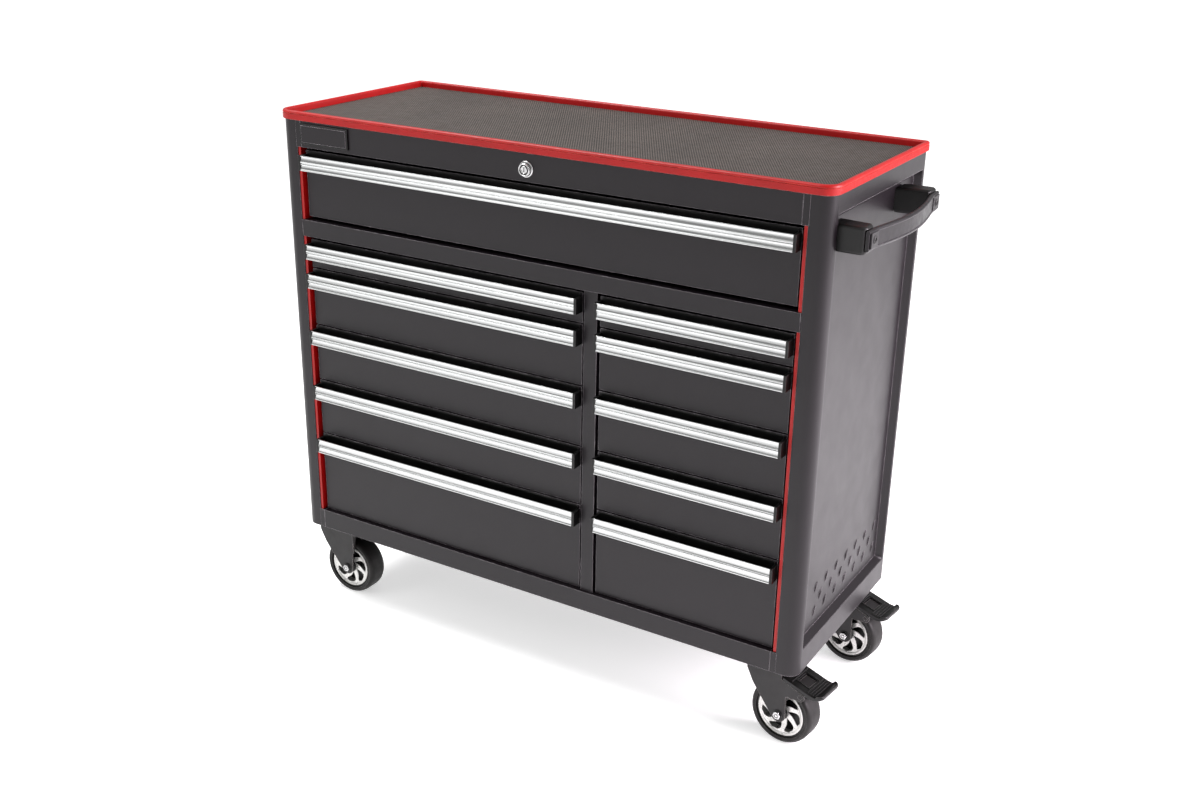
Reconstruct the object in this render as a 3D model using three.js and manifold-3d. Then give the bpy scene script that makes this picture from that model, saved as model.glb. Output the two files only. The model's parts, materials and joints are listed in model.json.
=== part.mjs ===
// Rolling tool chest: a sheet-steel cabinet with one wide drawer over two columns of five,
// a side push handle, a matted top with an edge trim, and four swivel casters.
// Millimetres, +Z up, the front faces -Y. The model is drawn in cabinet coordinates
// (X = 0 at the left outer face, Y = 0 at the front face, Z = 0 at the floor) and the
// whole group is then shifted so that the origin is the bottom centre of its bounding box.
import * as THREE from 'three';
import { mergeVertices } from 'three/addons/utils/BufferGeometryUtils.js';
import Module from 'manifold-3d';

const wasm = await Module();
wasm.setup();

// ---------------------------------------------------------------- driving dimensions
const BODY_WIDTH = 1067;
const BODY_DEPTH = 411;
const BODY_BOTTOM = 163;
const BODY_TOP = 975.8;
const SHEET = 1.2;
const GAP = 0.3;

const CORNER_RADIUS = 22;
const REAR_CORNER_RADIUS = 4;
const STILE_WIDTH = 37.4;
const STILE_DEPTH = 20;
const EAR_WIDTH = 46.8;
const REAR_FLANGE = 20;
const INSIDE_REACH = 120;

const RECESS = { front: 29, rear: 395, bottom: 214, top: 939, depth: 13, slope: 7, radius: 8 };
const LOUVRE = {
  length: 18, height: 3, lean: 1.05, rows: 3, columns: 7, front: 96, top: 288, pitch: 45.5, rowDrop: 22.5,
};

const FASCIA_BOTTOM = 927.9;
const MIDDLE_RAIL = { bottom: 762.6, top: 793.6 };
const BOTTOM_RAIL_TOP = 201.2;
const RAIL_DEPTH = 20;

const DIVIDER = {
  left: 644.7, right: 669.7, front: 6, channel: 24, web: 2.4, bracket: 12, slideProud: 1,
};

const DRAWER_FRONT_Y = 9;
const DRAWER = { frontReturn: 16, boxInset: 10, boxDepth: 372, boxTopDrop: 9, boxBottomRise: 4 };
const WIDE_DRAWER = { left: 48.5, right: 1018.5, bottom: 799.9, height: 121.6 };
const LEFT_COLUMN = { left: 48.5, right: 640.2 };
const RIGHT_COLUMN = { left: 674.2, right: 1018.5 };
const COLUMN_TOP = 755.9;
const DRAWER_GAP = 3;
const FRONT_HEIGHTS = [52.7, 108.4, 108.4, 108.4, 163.1];

const PULL = { reach: 22, height: 28, drop: 6, lip: 2.6, back: 1.6, web: 2.2, cap: 8 };
const SLIDE = {
  height: 22, fixedHeight: 36, fixed: 3, member: 4, front: 32, rear: 378, reveal: 3.8,
  heightShare: 0.4, highest: 40,
};
const POST = { front: 34, rear: 352, width: 26, bottom: BODY_BOTTOM + 20, top: FASCIA_BOTTOM - 6 };
const STRIP = { width: 5.3, front: 2, rear: 18, link: 3, tab: 12 };

const TRIM = { height: 16, outset: 4.25, inset: 4.4, crest: 2.2, shoulder: 1.5, taper: 1.2 };
const DECK = { sheet: 1.2, upstand: 13 };
const MAT = { thickness: 2.8, margin: 5.2 };

const HANDLE = {
  bottom: 889, top: 932, front: 23, rear: 345, blockWidth: 40, blockReach: 45,
  rounding: 8, chamfer: 12, seat: 3,
  gripBottom: 895, gripTop: 927, gripThickness: 8, gripInset: 4, gripFlat: 22, bulge: 16,
};

const LOCK = {
  x: BODY_WIDTH / 2, z: 949, bore: 10.2, barrel: 9.6, face: 11, proud: 6, length: 22,
  keyWidth: 2.2, keyHeight: 10, keyDepth: 3, camWidth: 8, camDrop: 16, camRise: 6, camThickness: 2,
};

const CASTER = {
  leftX: 41, rightX: 1007, frontY: 66, rearY: 372,
  plateX: 76, plateY: 64, plateTop: 162.7, plate: 3, race: 27,
  crownTop: 151, crownBottom: 146, trail: 24, cheek: 3, cheekInner: 25.2,
};
const WHEEL = { radius: 59, width: 43, rim: 45.5, rimWidth: 39, hub: 13, hubWidth: 47, bore: 5.6 };
const AXLE = { radius: 5, head: 9.5, headDepth: 6 };
const PEDAL = {
  pivotX: 64, pivotZ: 110, width: 62, lugInner: 18, lugOuter: 24.6, lugRadius: 5.4, pin: 3, pinHole: 3.4,
  windowFront: 52, windowRear: 68, windowWidth: 18,
};
const TRAILING_ANGLE = THREE.MathUtils.degToRad(-7);

// ---------------------------------------------------------------- materials
const FINISHES = {
  powder_coat: { color: 0x3f3d41, roughness: 0.45, metalness: 0.25 },
  satin_aluminium: { color: 0xc9cacc, roughness: 0.28, metalness: 1.0 },
  red_trim: { color: 0xd62a2a, roughness: 0.5, metalness: 0.0 },
  top_mat: { color: 0x3a3733, roughness: 0.9, metalness: 0.0 },
  black_plastic: { color: 0x1b1b1c, roughness: 0.55, metalness: 0.0 },
  grip_coat: { color: 0x4d4a50, roughness: 0.3, metalness: 0.2 },
  chrome: { color: 0xd9dadb, roughness: 0.12, metalness: 1.0 },
  rim_silver: { color: 0xd5d6d8, roughness: 0.3, metalness: 0.8 },
  tyre_rubber: { color: 0x2a2829, roughness: 0.75, metalness: 0.0 },
  fork_steel: { color: 0x39363a, roughness: 0.5, metalness: 0.4 },
};

// ---------------------------------------------------------------- solids
function toSolid(geometry) {
  const bare = geometry.clone();
  bare.deleteAttribute('normal');
  bare.deleteAttribute('uv');
  const merged = mergeVertices(bare, 1e-4);
  const vertProperties = new Float32Array(merged.attributes.position.array);
  const triVerts = new Uint32Array(merged.index.array);
  return new wasm.Manifold(new wasm.Mesh({ numProp: 3, vertProperties, triVerts }));
}

function toGeometry(solid) {
  const mesh = solid.getMesh();
  const geometry = new THREE.BufferGeometry();
  const positions = new Float32Array(mesh.numVert * 3);
  for (let i = 0; i < mesh.numVert; i += 1) {
    for (let k = 0; k < 3; k += 1) {
      positions[3 * i + k] = mesh.vertProperties[mesh.numProp * i + k];
    }
  }
  geometry.setAttribute('position', new THREE.BufferAttribute(positions, 3));
  geometry.setIndex(new THREE.BufferAttribute(new Uint32Array(mesh.triVerts), 1));
  geometry.computeVertexNormals();
  return geometry;
}

function join(solids) {
  return solids.reduce((whole, next) => whole.add(next));
}

function cut(solid, tools) {
  return tools.reduce((rest, tool) => rest.subtract(tool), solid);
}

// A box between two values on each axis, in either order.
function box(xa, xb, ya, yb, za, zb) {
  const geometry = new THREE.BoxGeometry(Math.abs(xb - xa), Math.abs(yb - ya), Math.abs(zb - za));
  geometry.translate((xa + xb) / 2, (ya + yb) / 2, (za + zb) / 2);
  return toSolid(geometry);
}

// Extrusions of an outline along one axis: outlines are (x, y), (y, z) and (x, z).
function prismZ(shape, z0, z1) {
  const geometry = new THREE.ExtrudeGeometry(shape, { depth: z1 - z0, bevelEnabled: false });
  geometry.translate(0, 0, z0);
  return toSolid(geometry);
}

function prismX(shape, x0, x1) {
  const geometry = new THREE.ExtrudeGeometry(shape, { depth: x1 - x0, bevelEnabled: false });
  geometry.applyMatrix4(new THREE.Matrix4().set(0, 0, 1, x0, 1, 0, 0, 0, 0, 1, 0, 0, 0, 0, 0, 1));
  return toSolid(geometry);
}

function prismY(shape, y0, y1) {
  const geometry = new THREE.ExtrudeGeometry(shape, { depth: y1 - y0, bevelEnabled: false });
  geometry.applyMatrix4(new THREE.Matrix4().set(1, 0, 0, 0, 0, 0, -1, y1, 0, 1, 0, 0, 0, 0, 0, 1));
  return toSolid(geometry);
}

// A solid of revolution about Y from a closed (radius, y) profile.
function turned(profile, segments) {
  const points = profile.map(([radius, y]) => new THREE.Vector2(radius, y));
  points.push(points[0].clone());
  return toSolid(new THREE.LatheGeometry(points, segments));
}

// A cylinder along Y or Z.
function rodY(radius, x, z, y0, y1, segments) {
  const geometry = new THREE.CylinderGeometry(radius, radius, y1 - y0, segments);
  geometry.translate(x, (y0 + y1) / 2, z);
  return toSolid(geometry);
}

function rodZ(radius, x, y, z0, z1, segments) {
  const geometry = new THREE.CylinderGeometry(radius, radius, z1 - z0, segments);
  geometry.rotateX(Math.PI / 2);
  geometry.translate(x, y, (z0 + z1) / 2);
  return toSolid(geometry);
}

function outline(points) {
  return new THREE.Shape(points.map(([u, v]) => new THREE.Vector2(u, v)));
}

function arc(centreU, centreV, radius, startDeg, endDeg, steps) {
  const points = [];
  for (let i = 0; i <= steps; i += 1) {
    const angle = THREE.MathUtils.degToRad(startDeg + ((endDeg - startDeg) * i) / steps);
    points.push([centreU + radius * Math.cos(angle), centreV + radius * Math.sin(angle)]);
  }
  return points;
}

// The cabinet's plan outline, grown outwards by `grow`, with its front and rear corners rounded.
function planOutline(grow) {
  const x0 = -grow;
  const x1 = BODY_WIDTH + grow;
  const y0 = -grow;
  const y1 = BODY_DEPTH + grow;
  const front = CORNER_RADIUS + grow;
  const rear = Math.max(REAR_CORNER_RADIUS + grow, 1);
  return outline([
    ...arc(x0 + front, y0 + front, front, 180, 270, 8),
    ...arc(x1 - front, y0 + front, front, 270, 360, 8),
    ...arc(x1 - rear, y1 - rear, rear, 0, 90, 3),
    ...arc(x0 + rear, y1 - rear, rear, 90, 180, 3),
  ]);
}

// ---------------------------------------------------------------- side panels
// One folded sheet: rounded front corner and stile, pressed side field, rear flange.
// `mx` maps a distance from the panel's own outer face to the cabinet's X.
function panelPlan(mx, inset) {
  const radius = CORNER_RADIUS - inset;
  const corner = arc(CORNER_RADIUS, CORNER_RADIUS, radius, 270, 180, 8);
  const rear = BODY_DEPTH - inset;
  const reach = inset > 0 ? STILE_WIDTH - SHEET : STILE_WIDTH;
  const points = [
    [reach, inset],
    ...corner,
    [inset, rear],
    [REAR_FLANGE, rear],
  ];
  if (inset > 0) {
    points.push([INSIDE_REACH, rear], [INSIDE_REACH, STILE_DEPTH], [reach, STILE_DEPTH]);
  } else {
    points.push([REAR_FLANGE, STILE_DEPTH], [STILE_WIDTH, STILE_DEPTH]);
  }
  return outline(points.map(([x, y]) => [mx(x), y]));
}

// The pressed field: a rounded rectangle whose walls slope in to its floor.
function recessCutter(mx, grow) {
  const { front, rear, bottom, top, depth, slope, radius } = RECESS;
  const shape = outline([
    ...arc(front + radius, bottom + radius, radius, 180, 270, 3),
    ...arc(rear - radius, bottom + radius, radius, 270, 360, 3),
    ...arc(rear - radius, top - radius, radius, 0, 90, 3),
    ...arc(front + radius, top - radius, radius, 90, 180, 3),
  ]);
  const straight = 4;
  const geometry = new THREE.ExtrudeGeometry(shape, {
    depth: straight,
    bevelEnabled: true,
    bevelSegments: 1,
    bevelThickness: depth + grow,
    bevelSize: slope + grow,
  });
  geometry.translate(0, 0, -straight / 2);
  const middle = mx(-straight / 2);
  geometry.applyMatrix4(new THREE.Matrix4().set(0, 0, 1, middle, 1, 0, 0, 0, 0, 1, 0, 0, 0, 0, 0, 1));
  return toSolid(geometry);
}

// Three staggered rows of short slanted vent slots across the foot of the field.
function louvreCutters(mx) {
  const x = mx(RECESS.depth);
  const half = LOUVRE.length / 2;
  const run = half * Math.cos(LOUVRE.lean);
  const rise = half * Math.sin(LOUVRE.lean);
  const across = (LOUVRE.height / 2) * Math.sin(LOUVRE.lean);
  const along = (LOUVRE.height / 2) * Math.cos(LOUVRE.lean);
  const slots = [];
  for (let row = 0; row < LOUVRE.rows; row += 1) {
    const short = row % 2;
    const z = LOUVRE.top - LOUVRE.rowDrop * row;
    for (let column = 0; column < LOUVRE.columns - short; column += 1) {
      const y = LOUVRE.front + LOUVRE.pitch * (column + short / 2);
      const shape = outline([
        [y - run + across, z - rise - along],
        [y + run + across, z + rise - along],
        [y + run - across, z + rise + along],
        [y - run - across, z - rise + along],
      ]);
      slots.push(prismX(shape, x - 4, x + 4));
    }
  }
  return slots;
}

function drawerRows() {
  const rows = [];
  let top = COLUMN_TOP;
  for (const height of FRONT_HEIGHTS) {
    rows.push({ bottom: top - height, height });
    top -= height + DRAWER_GAP;
  }
  return rows;
}

// The height at which a drawer's slides sit.
function slideCentre(row) {
  return row.bottom + DRAWER.boxBottomRise + Math.min(row.height * SLIDE.heightShare, SLIDE.highest);
}

// Fixed slide members: one per drawer, all on two upright posts.
function slideRack(mx, rows) {
  const outer = RECESS.depth + SHEET / 2;
  const fixedOuter = WIDE_DRAWER.left + DRAWER.boxInset - SLIDE.member - SLIDE.reveal - SLIDE.fixed;
  const pieces = [POST.front, POST.rear].map((y) => (
    box(mx(outer), mx(fixedOuter + 1), y, y + POST.width, POST.bottom, POST.top)
  ));
  for (const row of rows) {
    const z = slideCentre(row);
    const half = SLIDE.fixedHeight / 2;
    const inner = fixedOuter + SLIDE.fixed;
    pieces.push(box(mx(fixedOuter), mx(inner), SLIDE.front, SLIDE.rear, z - half, z + half));
  }
  return join(pieces);
}

function sidePanel(side) {
  const mx = side === 'left' ? (x) => x : (x) => BODY_WIDTH - x;
  const outside = prismZ(panelPlan(mx, 0), BODY_BOTTOM, BODY_TOP);
  const inside = cut(prismZ(panelPlan(mx, SHEET), BODY_BOTTOM - 1, BODY_TOP + 1), [recessCutter(mx, SHEET)]);
  const skin = cut(outside, [recessCutter(mx, 0), inside]);
  const lowerEar = box(mx(STILE_WIDTH - 1), mx(EAR_WIDTH), 0, SHEET, BODY_BOTTOM, BOTTOM_RAIL_TOP);
  const upperEar = box(mx(STILE_WIDTH - 1), mx(EAR_WIDTH), 0, SHEET, FASCIA_BOTTOM, BODY_TOP);
  const rows = [WIDE_DRAWER, ...drawerRows()];
  return cut(join([skin, lowerEar, upperEar, slideRack(mx, rows)]), louvreCutters(mx));
}

// ---------------------------------------------------------------- cabinet shell
function backPanel() {
  const y1 = BODY_DEPTH - SHEET - GAP;
  const x0 = SHEET + GAP;
  return box(x0, BODY_WIDTH - x0, y1 - SHEET, y1, BODY_BOTTOM + 2, BODY_TOP - GAP);
}

// One folded sheet: the floor of the cabinet with the bottom rail turned up at its front.
function basePan() {
  const front = STILE_DEPTH + GAP;
  const rear = BODY_DEPTH - 2 * SHEET - 2 * GAP;
  const side = SHEET + GAP;
  const z0 = BODY_BOTTOM;
  const z1 = BOTTOM_RAIL_TOP;
  const shape = outline([
    [0, z0], [rear, z0], [rear, z0 + SHEET], [SHEET, z0 + SHEET],
    [SHEET, z1 - SHEET], [RAIL_DEPTH, z1 - SHEET], [RAIL_DEPTH, z1], [0, z1],
  ]);
  const railLeft = EAR_WIDTH + GAP;
  const wings = [
    box(side, railLeft + 1, front, rear, z0, z0 + SHEET),
    box(BODY_WIDTH - side, BODY_WIDTH - railLeft - 1, front, rear, z0, z0 + SHEET),
  ];
  return join([prismX(shape, railLeft, BODY_WIDTH - railLeft), ...wings]);
}

// A channel-section rail between two heights, open to the rear.
function rail(x0, x1, z0, z1) {
  const shape = outline([
    [0, z0], [RAIL_DEPTH, z0], [RAIL_DEPTH, z0 + SHEET], [SHEET, z0 + SHEET],
    [SHEET, z1 - SHEET], [RAIL_DEPTH, z1 - SHEET], [RAIL_DEPTH, z1], [0, z1],
  ]);
  return prismX(shape, x0, x1);
}

function topRail() {
  const x0 = EAR_WIDTH + GAP;
  const plain = rail(x0, BODY_WIDTH - x0, FASCIA_BOTTOM, BODY_TOP - GAP);
  return cut(plain, [rodY(LOCK.bore, LOCK.x, LOCK.z, -1, SHEET + 1, 24)]);
}

function middleRail() {
  const x0 = STILE_WIDTH + GAP;
  return rail(x0, BODY_WIDTH - x0, MIDDLE_RAIL.bottom, MIDDLE_RAIL.top);
}

// The upright between the drawer columns: a front channel, a web and slide members on both sides.
function centreDivider() {
  const { left, right, front, channel, web, bracket, slideProud } = DIVIDER;
  const z0 = BOTTOM_RAIL_TOP + GAP;
  const z1 = MIDDLE_RAIL.bottom - GAP;
  const middle = (left + right) / 2;
  const rear = BODY_DEPTH - 2 * SHEET - 2 * GAP;
  const shape = outline([
    [left, front], [right, front], [right, front + channel], [right - SHEET, front + channel],
    [right - SHEET, front + SHEET], [left + SHEET, front + SHEET],
    [left + SHEET, front + channel], [left, front + channel],
  ]);
  const pieces = [
    prismZ(shape, z0, z1),
    box(middle - web / 2, middle + web / 2, front + SHEET / 2, rear, z0, z1),
  ];
  for (const row of drawerRows()) {
    const z = slideCentre(row);
    const half = SLIDE.fixedHeight / 2;
    const inner = SLIDE.fixed - slideProud;
    pieces.push(box(left + 1, right - 1, SLIDE.front, SLIDE.front + bracket, z - half, z + half));
    pieces.push(box(left + 1, right - 1, SLIDE.rear - bracket, SLIDE.rear, z - half, z + half));
    pieces.push(box(left - slideProud, left + inner, SLIDE.front, SLIDE.rear, z - half, z + half));
    pieces.push(box(right - inner, right + slideProud, SLIDE.front, SLIDE.rear, z - half, z + half));
  }
  return join(pieces);
}

// ---------------------------------------------------------------- top
function topDeck() {
  const floor = BODY_TOP + GAP;
  const plate = prismZ(planOutline(-GAP), floor, floor + DECK.sheet);
  const ring = prismZ(planOutline(-GAP), floor, floor + DECK.upstand);
  const hollow = prismZ(planOutline(-GAP - DECK.sheet), floor + DECK.sheet, floor + DECK.upstand + 1);
  return join([plate, cut(ring, [hollow])]);
}

// A push-on edge profile: an inverted U along the deck's upstand, all the way round.
function edgeTrim() {
  const bottom = BODY_TOP + 2 * GAP;
  const top = bottom + TRIM.height;
  const deckTop = BODY_TOP + GAP + DECK.sheet;
  const body = prismZ(planOutline(TRIM.outset), bottom, top - TRIM.shoulder);
  const crest = prismZ(planOutline(TRIM.outset - TRIM.taper), top - TRIM.shoulder - 1, top);
  const slot = prismZ(planOutline(0), bottom - 1, top - TRIM.crest);
  const slotCore = prismZ(planOutline(-2 * GAP - DECK.sheet), deckTop + GAP, top);
  const hollow = prismZ(planOutline(-TRIM.inset), bottom - 1, top + 1);
  return cut(join([body, crest]), [cut(slot, [slotCore]), hollow]);
}

function topMat() {
  const z0 = BODY_TOP + 2 * GAP + DECK.sheet;
  return prismZ(planOutline(-MAT.margin), z0, z0 + MAT.thickness);
}

// ---------------------------------------------------------------- side handle
function handleBracket(end) {
  const { bottom, top, front, rear, blockWidth, blockReach, rounding, chamfer } = HANDLE;
  const my = end === 'front' ? (y) => front + y : (y) => rear - y;
  const x0 = BODY_WIDTH - RECESS.depth + GAP;
  const x1 = BODY_WIDTH + blockReach;
  const foot = RECESS.front - front + 3 * GAP;
  const shape = outline([
    [x0, my(foot)], [x0 + RECESS.depth, my(0)], [x1 - rounding, my(0)],
    ...arc(x1 - rounding, rounding, rounding, 270, 360, 4).map(([x, y]) => [x, my(y)]),
    [x1, my(blockWidth - chamfer)], [x0, my(blockWidth)],
  ]);
  const block = prismZ(shape, bottom, top);
  const seatBottom = HANDLE.gripBottom - GAP;
  const seatTop = HANDLE.gripTop + GAP;
  const seat = box(x1 - HANDLE.seat, x1 + 10, front - 1, rear + 1, seatBottom, seatTop);
  return cut(block, [seat]);
}

// A flat bar bent outwards into a shallow arch between the two brackets.
function handleGrip() {
  const inner = BODY_WIDTH + HANDLE.blockReach - HANDLE.seat + GAP;
  const y0 = HANDLE.front + HANDLE.gripInset;
  const y1 = HANDLE.rear - HANDLE.gripInset;
  const flat = HANDLE.gripFlat;
  const steps = 12;
  const bulgeAt = (y) => {
    const t = (y - y0 - flat) / (y1 - y0 - 2 * flat);
    return t <= 0 || t >= 1 ? 0 : HANDLE.bulge * Math.sin(Math.PI * t) ** 0.8;
  };
  const stations = [y0];
  for (let i = 0; i <= steps; i += 1) {
    stations.push(y0 + flat + ((y1 - y0 - 2 * flat) * i) / steps);
  }
  stations.push(y1);
  const innerLine = stations.map((y) => [inner + bulgeAt(y), y]);
  const outerLine = stations.map((y) => [inner + HANDLE.gripThickness + bulgeAt(y), y]).reverse();
  return prismZ(outline([...innerLine, ...outerLine]), HANDLE.gripBottom, HANDLE.gripTop);
}

// ---------------------------------------------------------------- accent strips and lock
function accentStrip(side) {
  const mx = side === 'left' ? (x) => x : (x) => BODY_WIDTH - x;
  const x0 = STILE_WIDTH + GAP;
  const z0 = BOTTOM_RAIL_TOP + GAP;
  const z1 = FASCIA_BOTTOM - GAP;
  const bar = box(mx(x0), mx(x0 + STRIP.width), STRIP.front, STRIP.rear, z0, z1);
  const z2 = MIDDLE_RAIL.bottom - GAP;
  const z3 = MIDDLE_RAIL.top + GAP;
  const rear = RAIL_DEPTH + STRIP.link;
  const link = box(mx(x0), mx(x0 + STRIP.width), STRIP.front, rear, z2 - STRIP.tab, z3 + STRIP.tab);
  const railSpace = box(mx(x0 - 1), mx(x0 + STRIP.width + 1), -1, RAIL_DEPTH + GAP, z2, z3);
  return cut(join([bar, link]), [railSpace]);
}

function lockBarrel() {
  const { x, z, barrel, face, proud, length, keyWidth, keyHeight, keyDepth } = LOCK;
  const { camWidth, camDrop, camRise, camThickness } = LOCK;
  const head = rodY(face, x, z, -proud, -GAP, 24);
  const plug = rodY(barrel, x, z, -1, length, 24);
  const halfKey = keyWidth / 2;
  const keyRear = keyDepth - proud;
  const key = box(x - halfKey, x + halfKey, -proud - 1, keyRear, z - keyHeight / 2, z + keyHeight / 2);
  const camRear = length + camThickness;
  const cam = box(x - camWidth / 2, x + camWidth / 2, length - 1, camRear, z - camDrop, z + camRise);
  return cut(join([head, plug, cam]), [key]);
}

// ---------------------------------------------------------------- drawers
// Local frame: the front sheet's lower left corner, X to the right, Y to the rear.
function drawerBox(width, row) {
  const { frontReturn, boxInset, boxDepth, boxTopDrop, boxBottomRise } = DRAWER;
  const height = row.height;
  const x0 = boxInset;
  const x1 = width - boxInset;
  const z0 = boxBottomRise;
  const z1 = height - boxTopDrop;
  const tub = box(x0, x1, SHEET / 2, boxDepth, z0, z1);
  const inside = box(x0 + SHEET, x1 - SHEET, 2 * SHEET, boxDepth - SHEET, z0 + SHEET, height);
  const slideZ = slideCentre(row) - row.bottom;
  const half = SLIDE.height / 2;
  const slideFront = SLIDE.front - DRAWER_FRONT_Y;
  const slideRear = boxDepth - 6;
  const slides = [
    box(x0 - SLIDE.member, x0 + 0.5, slideFront, slideRear, slideZ - half, slideZ + half),
    box(x1 - 0.5, x1 + SLIDE.member, slideFront, slideRear, slideZ - half, slideZ + half),
  ];
  const front = [
    box(0, width, 0, SHEET, 0, height),
    box(0, SHEET, 0, frontReturn, 0, height),
    box(width - SHEET, width, 0, frontReturn, 0, height),
  ];
  return join([...front, cut(tub, [inside]), ...slides]);
}

// Full-width finger pull: a channel open at the top, closed by a cap at each end.
function drawerPull(width, height) {
  const { reach, drop, lip, back, web, cap } = PULL;
  const top = height - drop;
  const bottom = top - PULL.height;
  const rear = -GAP;
  const shape = outline([
    [rear, height - 1], [rear, bottom], [-reach, bottom], [-reach, top], [-reach + lip, top],
    [-reach + lip, bottom + web], [rear - back, bottom + web], [rear - back, height - 1],
  ]);
  const channel = prismX(shape, 0, width);
  const caps = [
    box(0, cap, -reach, rear, bottom, top),
    box(width - cap, width, -reach, rear, bottom, top),
  ];
  return join([channel, ...caps]);
}

// ---------------------------------------------------------------- casters
// Local frame: the swivel axis is Z at X = Y = 0, floor at Z = 0, wheel trailing towards +X.
function casterPlate() {
  const { plateX, plateY, plateTop, plate, race, crownTop } = CASTER;
  const flat = box(-plateX / 2, plateX / 2, -plateY / 2, plateY / 2, plateTop - plate, plateTop);
  const ring = rodZ(race, 0, 0, crownTop + GAP, plateTop - plate / 2, 24);
  return join([flat, ring]);
}

function cheekOutline(braked) {
  const { crownTop, trail } = CASTER;
  const axle = WHEEL.radius;
  const boss = 14;
  const leadingEdge = [[-44, crownTop], [-42, 129], [-29, 104]];
  const bossArc = arc(trail, axle, boss, 215, 370, 8);
  const trailingEdge = braked
    ? [[37, 100], ...arc(PEDAL.pivotX, PEDAL.pivotZ, 8, 270, 430, 6), [28, 130], [22, crownTop]]
    : [[40, 100], [42, crownTop]];
  return outline([...leadingEdge, ...bossArc, ...trailingEdge]);
}

function casterFork(braked) {
  const { cheek, cheekInner, crownTop, crownBottom, trail } = CASTER;
  const outer = cheekInner + cheek;
  const shape = cheekOutline(braked);
  const cheeks = [prismY(shape, -outer, -cheekInner), prismY(shape, cheekInner, outer)];
  const crown = box(-44, braked ? 22 : 42, -outer, outer, crownBottom, crownTop);
  const holes = [rodY(AXLE.radius + GAP, trail, WHEEL.radius, -outer - 1, outer + 1, 16)];
  if (braked) {
    holes.push(rodY(PEDAL.pinHole, PEDAL.pivotX, PEDAL.pivotZ, -outer - 1, outer + 1, 12));
  }
  return cut(join([crown, ...cheeks]), holes);
}

// The wheel is turned about Y through its own centre.
function wheelRim() {
  const { rim, rimWidth, hub, hubWidth, bore } = WHEEL;
  const barrel = 38.5;
  const web = 4;
  const profile = [
    [bore, -hubWidth / 2], [hub, -hubWidth / 2], [hub, -web], [barrel, -web],
    [barrel + 2, -rimWidth / 2], [rim, -rimWidth / 2], [rim, rimWidth / 2], [barrel + 2, rimWidth / 2],
    [barrel, web], [hub, web], [hub, hubWidth / 2], [bore, hubWidth / 2],
  ];
  return turned(profile, 20);
}

function wheelTyre() {
  const { radius, width, rim } = WHEEL;
  const inner = rim + GAP;
  const half = width / 2;
  const profile = [
    [inner, -half + 2], [radius - 6, -half], [radius, -half + 7],
    [radius, half - 7], [radius - 6, half], [inner, half - 2],
  ];
  return turned(profile, 36);
}

function wheelAxle() {
  const outer = CASTER.cheekInner + CASTER.cheek;
  const near = outer + GAP;
  return join([
    rodY(AXLE.radius, 0, 0, -near - 1, near + 1, 12),
    rodY(AXLE.head, 0, 0, -near - AXLE.headDepth, -near, 6),
    rodY(AXLE.head, 0, 0, near, near + AXLE.headDepth, 6),
  ]);
}

// Brake pedal: a wide tread plate over the cheeks, with two lugs and a pin between them.
function brakePedal() {
  const { pivotX, pivotZ, width, lugInner, lugOuter, lugRadius } = PEDAL;
  const { windowFront, windowRear, windowWidth } = PEDAL;
  const side = outline([
    [31, 131.5], [31, 137.5], [82, 123.5], [104, 124.5],
    [106.5, 121], [106.5, 117.5], [83, 115.5], [74, 118.8],
  ]);
  const tread = prismY(side, -width / 2, width / 2);
  const window = box(windowFront, windowRear, -windowWidth / 2, windowWidth / 2, pivotZ, pivotZ + 30);
  const lug = outline([...arc(pivotX, pivotZ, lugRadius, 180, 360, 6), [70, 121], [57, 125]]);
  const lugs = [prismY(lug, -lugOuter, -lugInner), prismY(lug, lugInner, lugOuter)];
  const pinReach = CASTER.cheekInner + CASTER.cheek - GAP;
  const pin = rodY(PEDAL.pin, pivotX, pivotZ, -pinReach, pinReach, 10);
  return join([cut(tread, [window]), ...lugs, pin]);
}

// ---------------------------------------------------------------- assembly
const chest = new THREE.Group();

function named(name, solid, finish) {
  const material = new THREE.MeshStandardMaterial(FINISHES[finish]);
  const mesh = new THREE.Mesh(toGeometry(solid), material);
  mesh.name = name;
  return mesh;
}

function addCabinet() {
  chest.add(named('side_panel_left', sidePanel('left'), 'powder_coat'));
  chest.add(named('side_panel_right', sidePanel('right'), 'powder_coat'));
  chest.add(named('back_panel', backPanel(), 'powder_coat'));
  chest.add(named('base_pan', basePan(), 'powder_coat'));
  chest.add(named('top_rail', topRail(), 'powder_coat'));
  chest.add(named('middle_rail', middleRail(), 'powder_coat'));
  chest.add(named('centre_divider', centreDivider(), 'powder_coat'));
  chest.add(named('top_deck', topDeck(), 'powder_coat'));
  chest.add(named('edge_trim', edgeTrim(), 'red_trim'));
  chest.add(named('top_mat', topMat(), 'top_mat'));
  chest.add(named('accent_strip_left', accentStrip('left'), 'red_trim'));
  chest.add(named('accent_strip_right', accentStrip('right'), 'red_trim'));
  chest.add(named('handle_bracket_front', handleBracket('front'), 'black_plastic'));
  chest.add(named('handle_bracket_rear', handleBracket('rear'), 'black_plastic'));
  chest.add(named('handle_grip', handleGrip(), 'grip_coat'));
  chest.add(named('lock_barrel', lockBarrel(), 'chrome'));
}

function addDrawer(label, left, right, row) {
  const width = right - left;
  const drawer = new THREE.Group();
  drawer.position.set(left, DRAWER_FRONT_Y, row.bottom);
  drawer.add(named(`drawer_box_${label}`, drawerBox(width, row), 'powder_coat'));
  drawer.add(named(`drawer_pull_${label}`, drawerPull(width, row.height), 'satin_aluminium'));
  chest.add(drawer);
}

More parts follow.
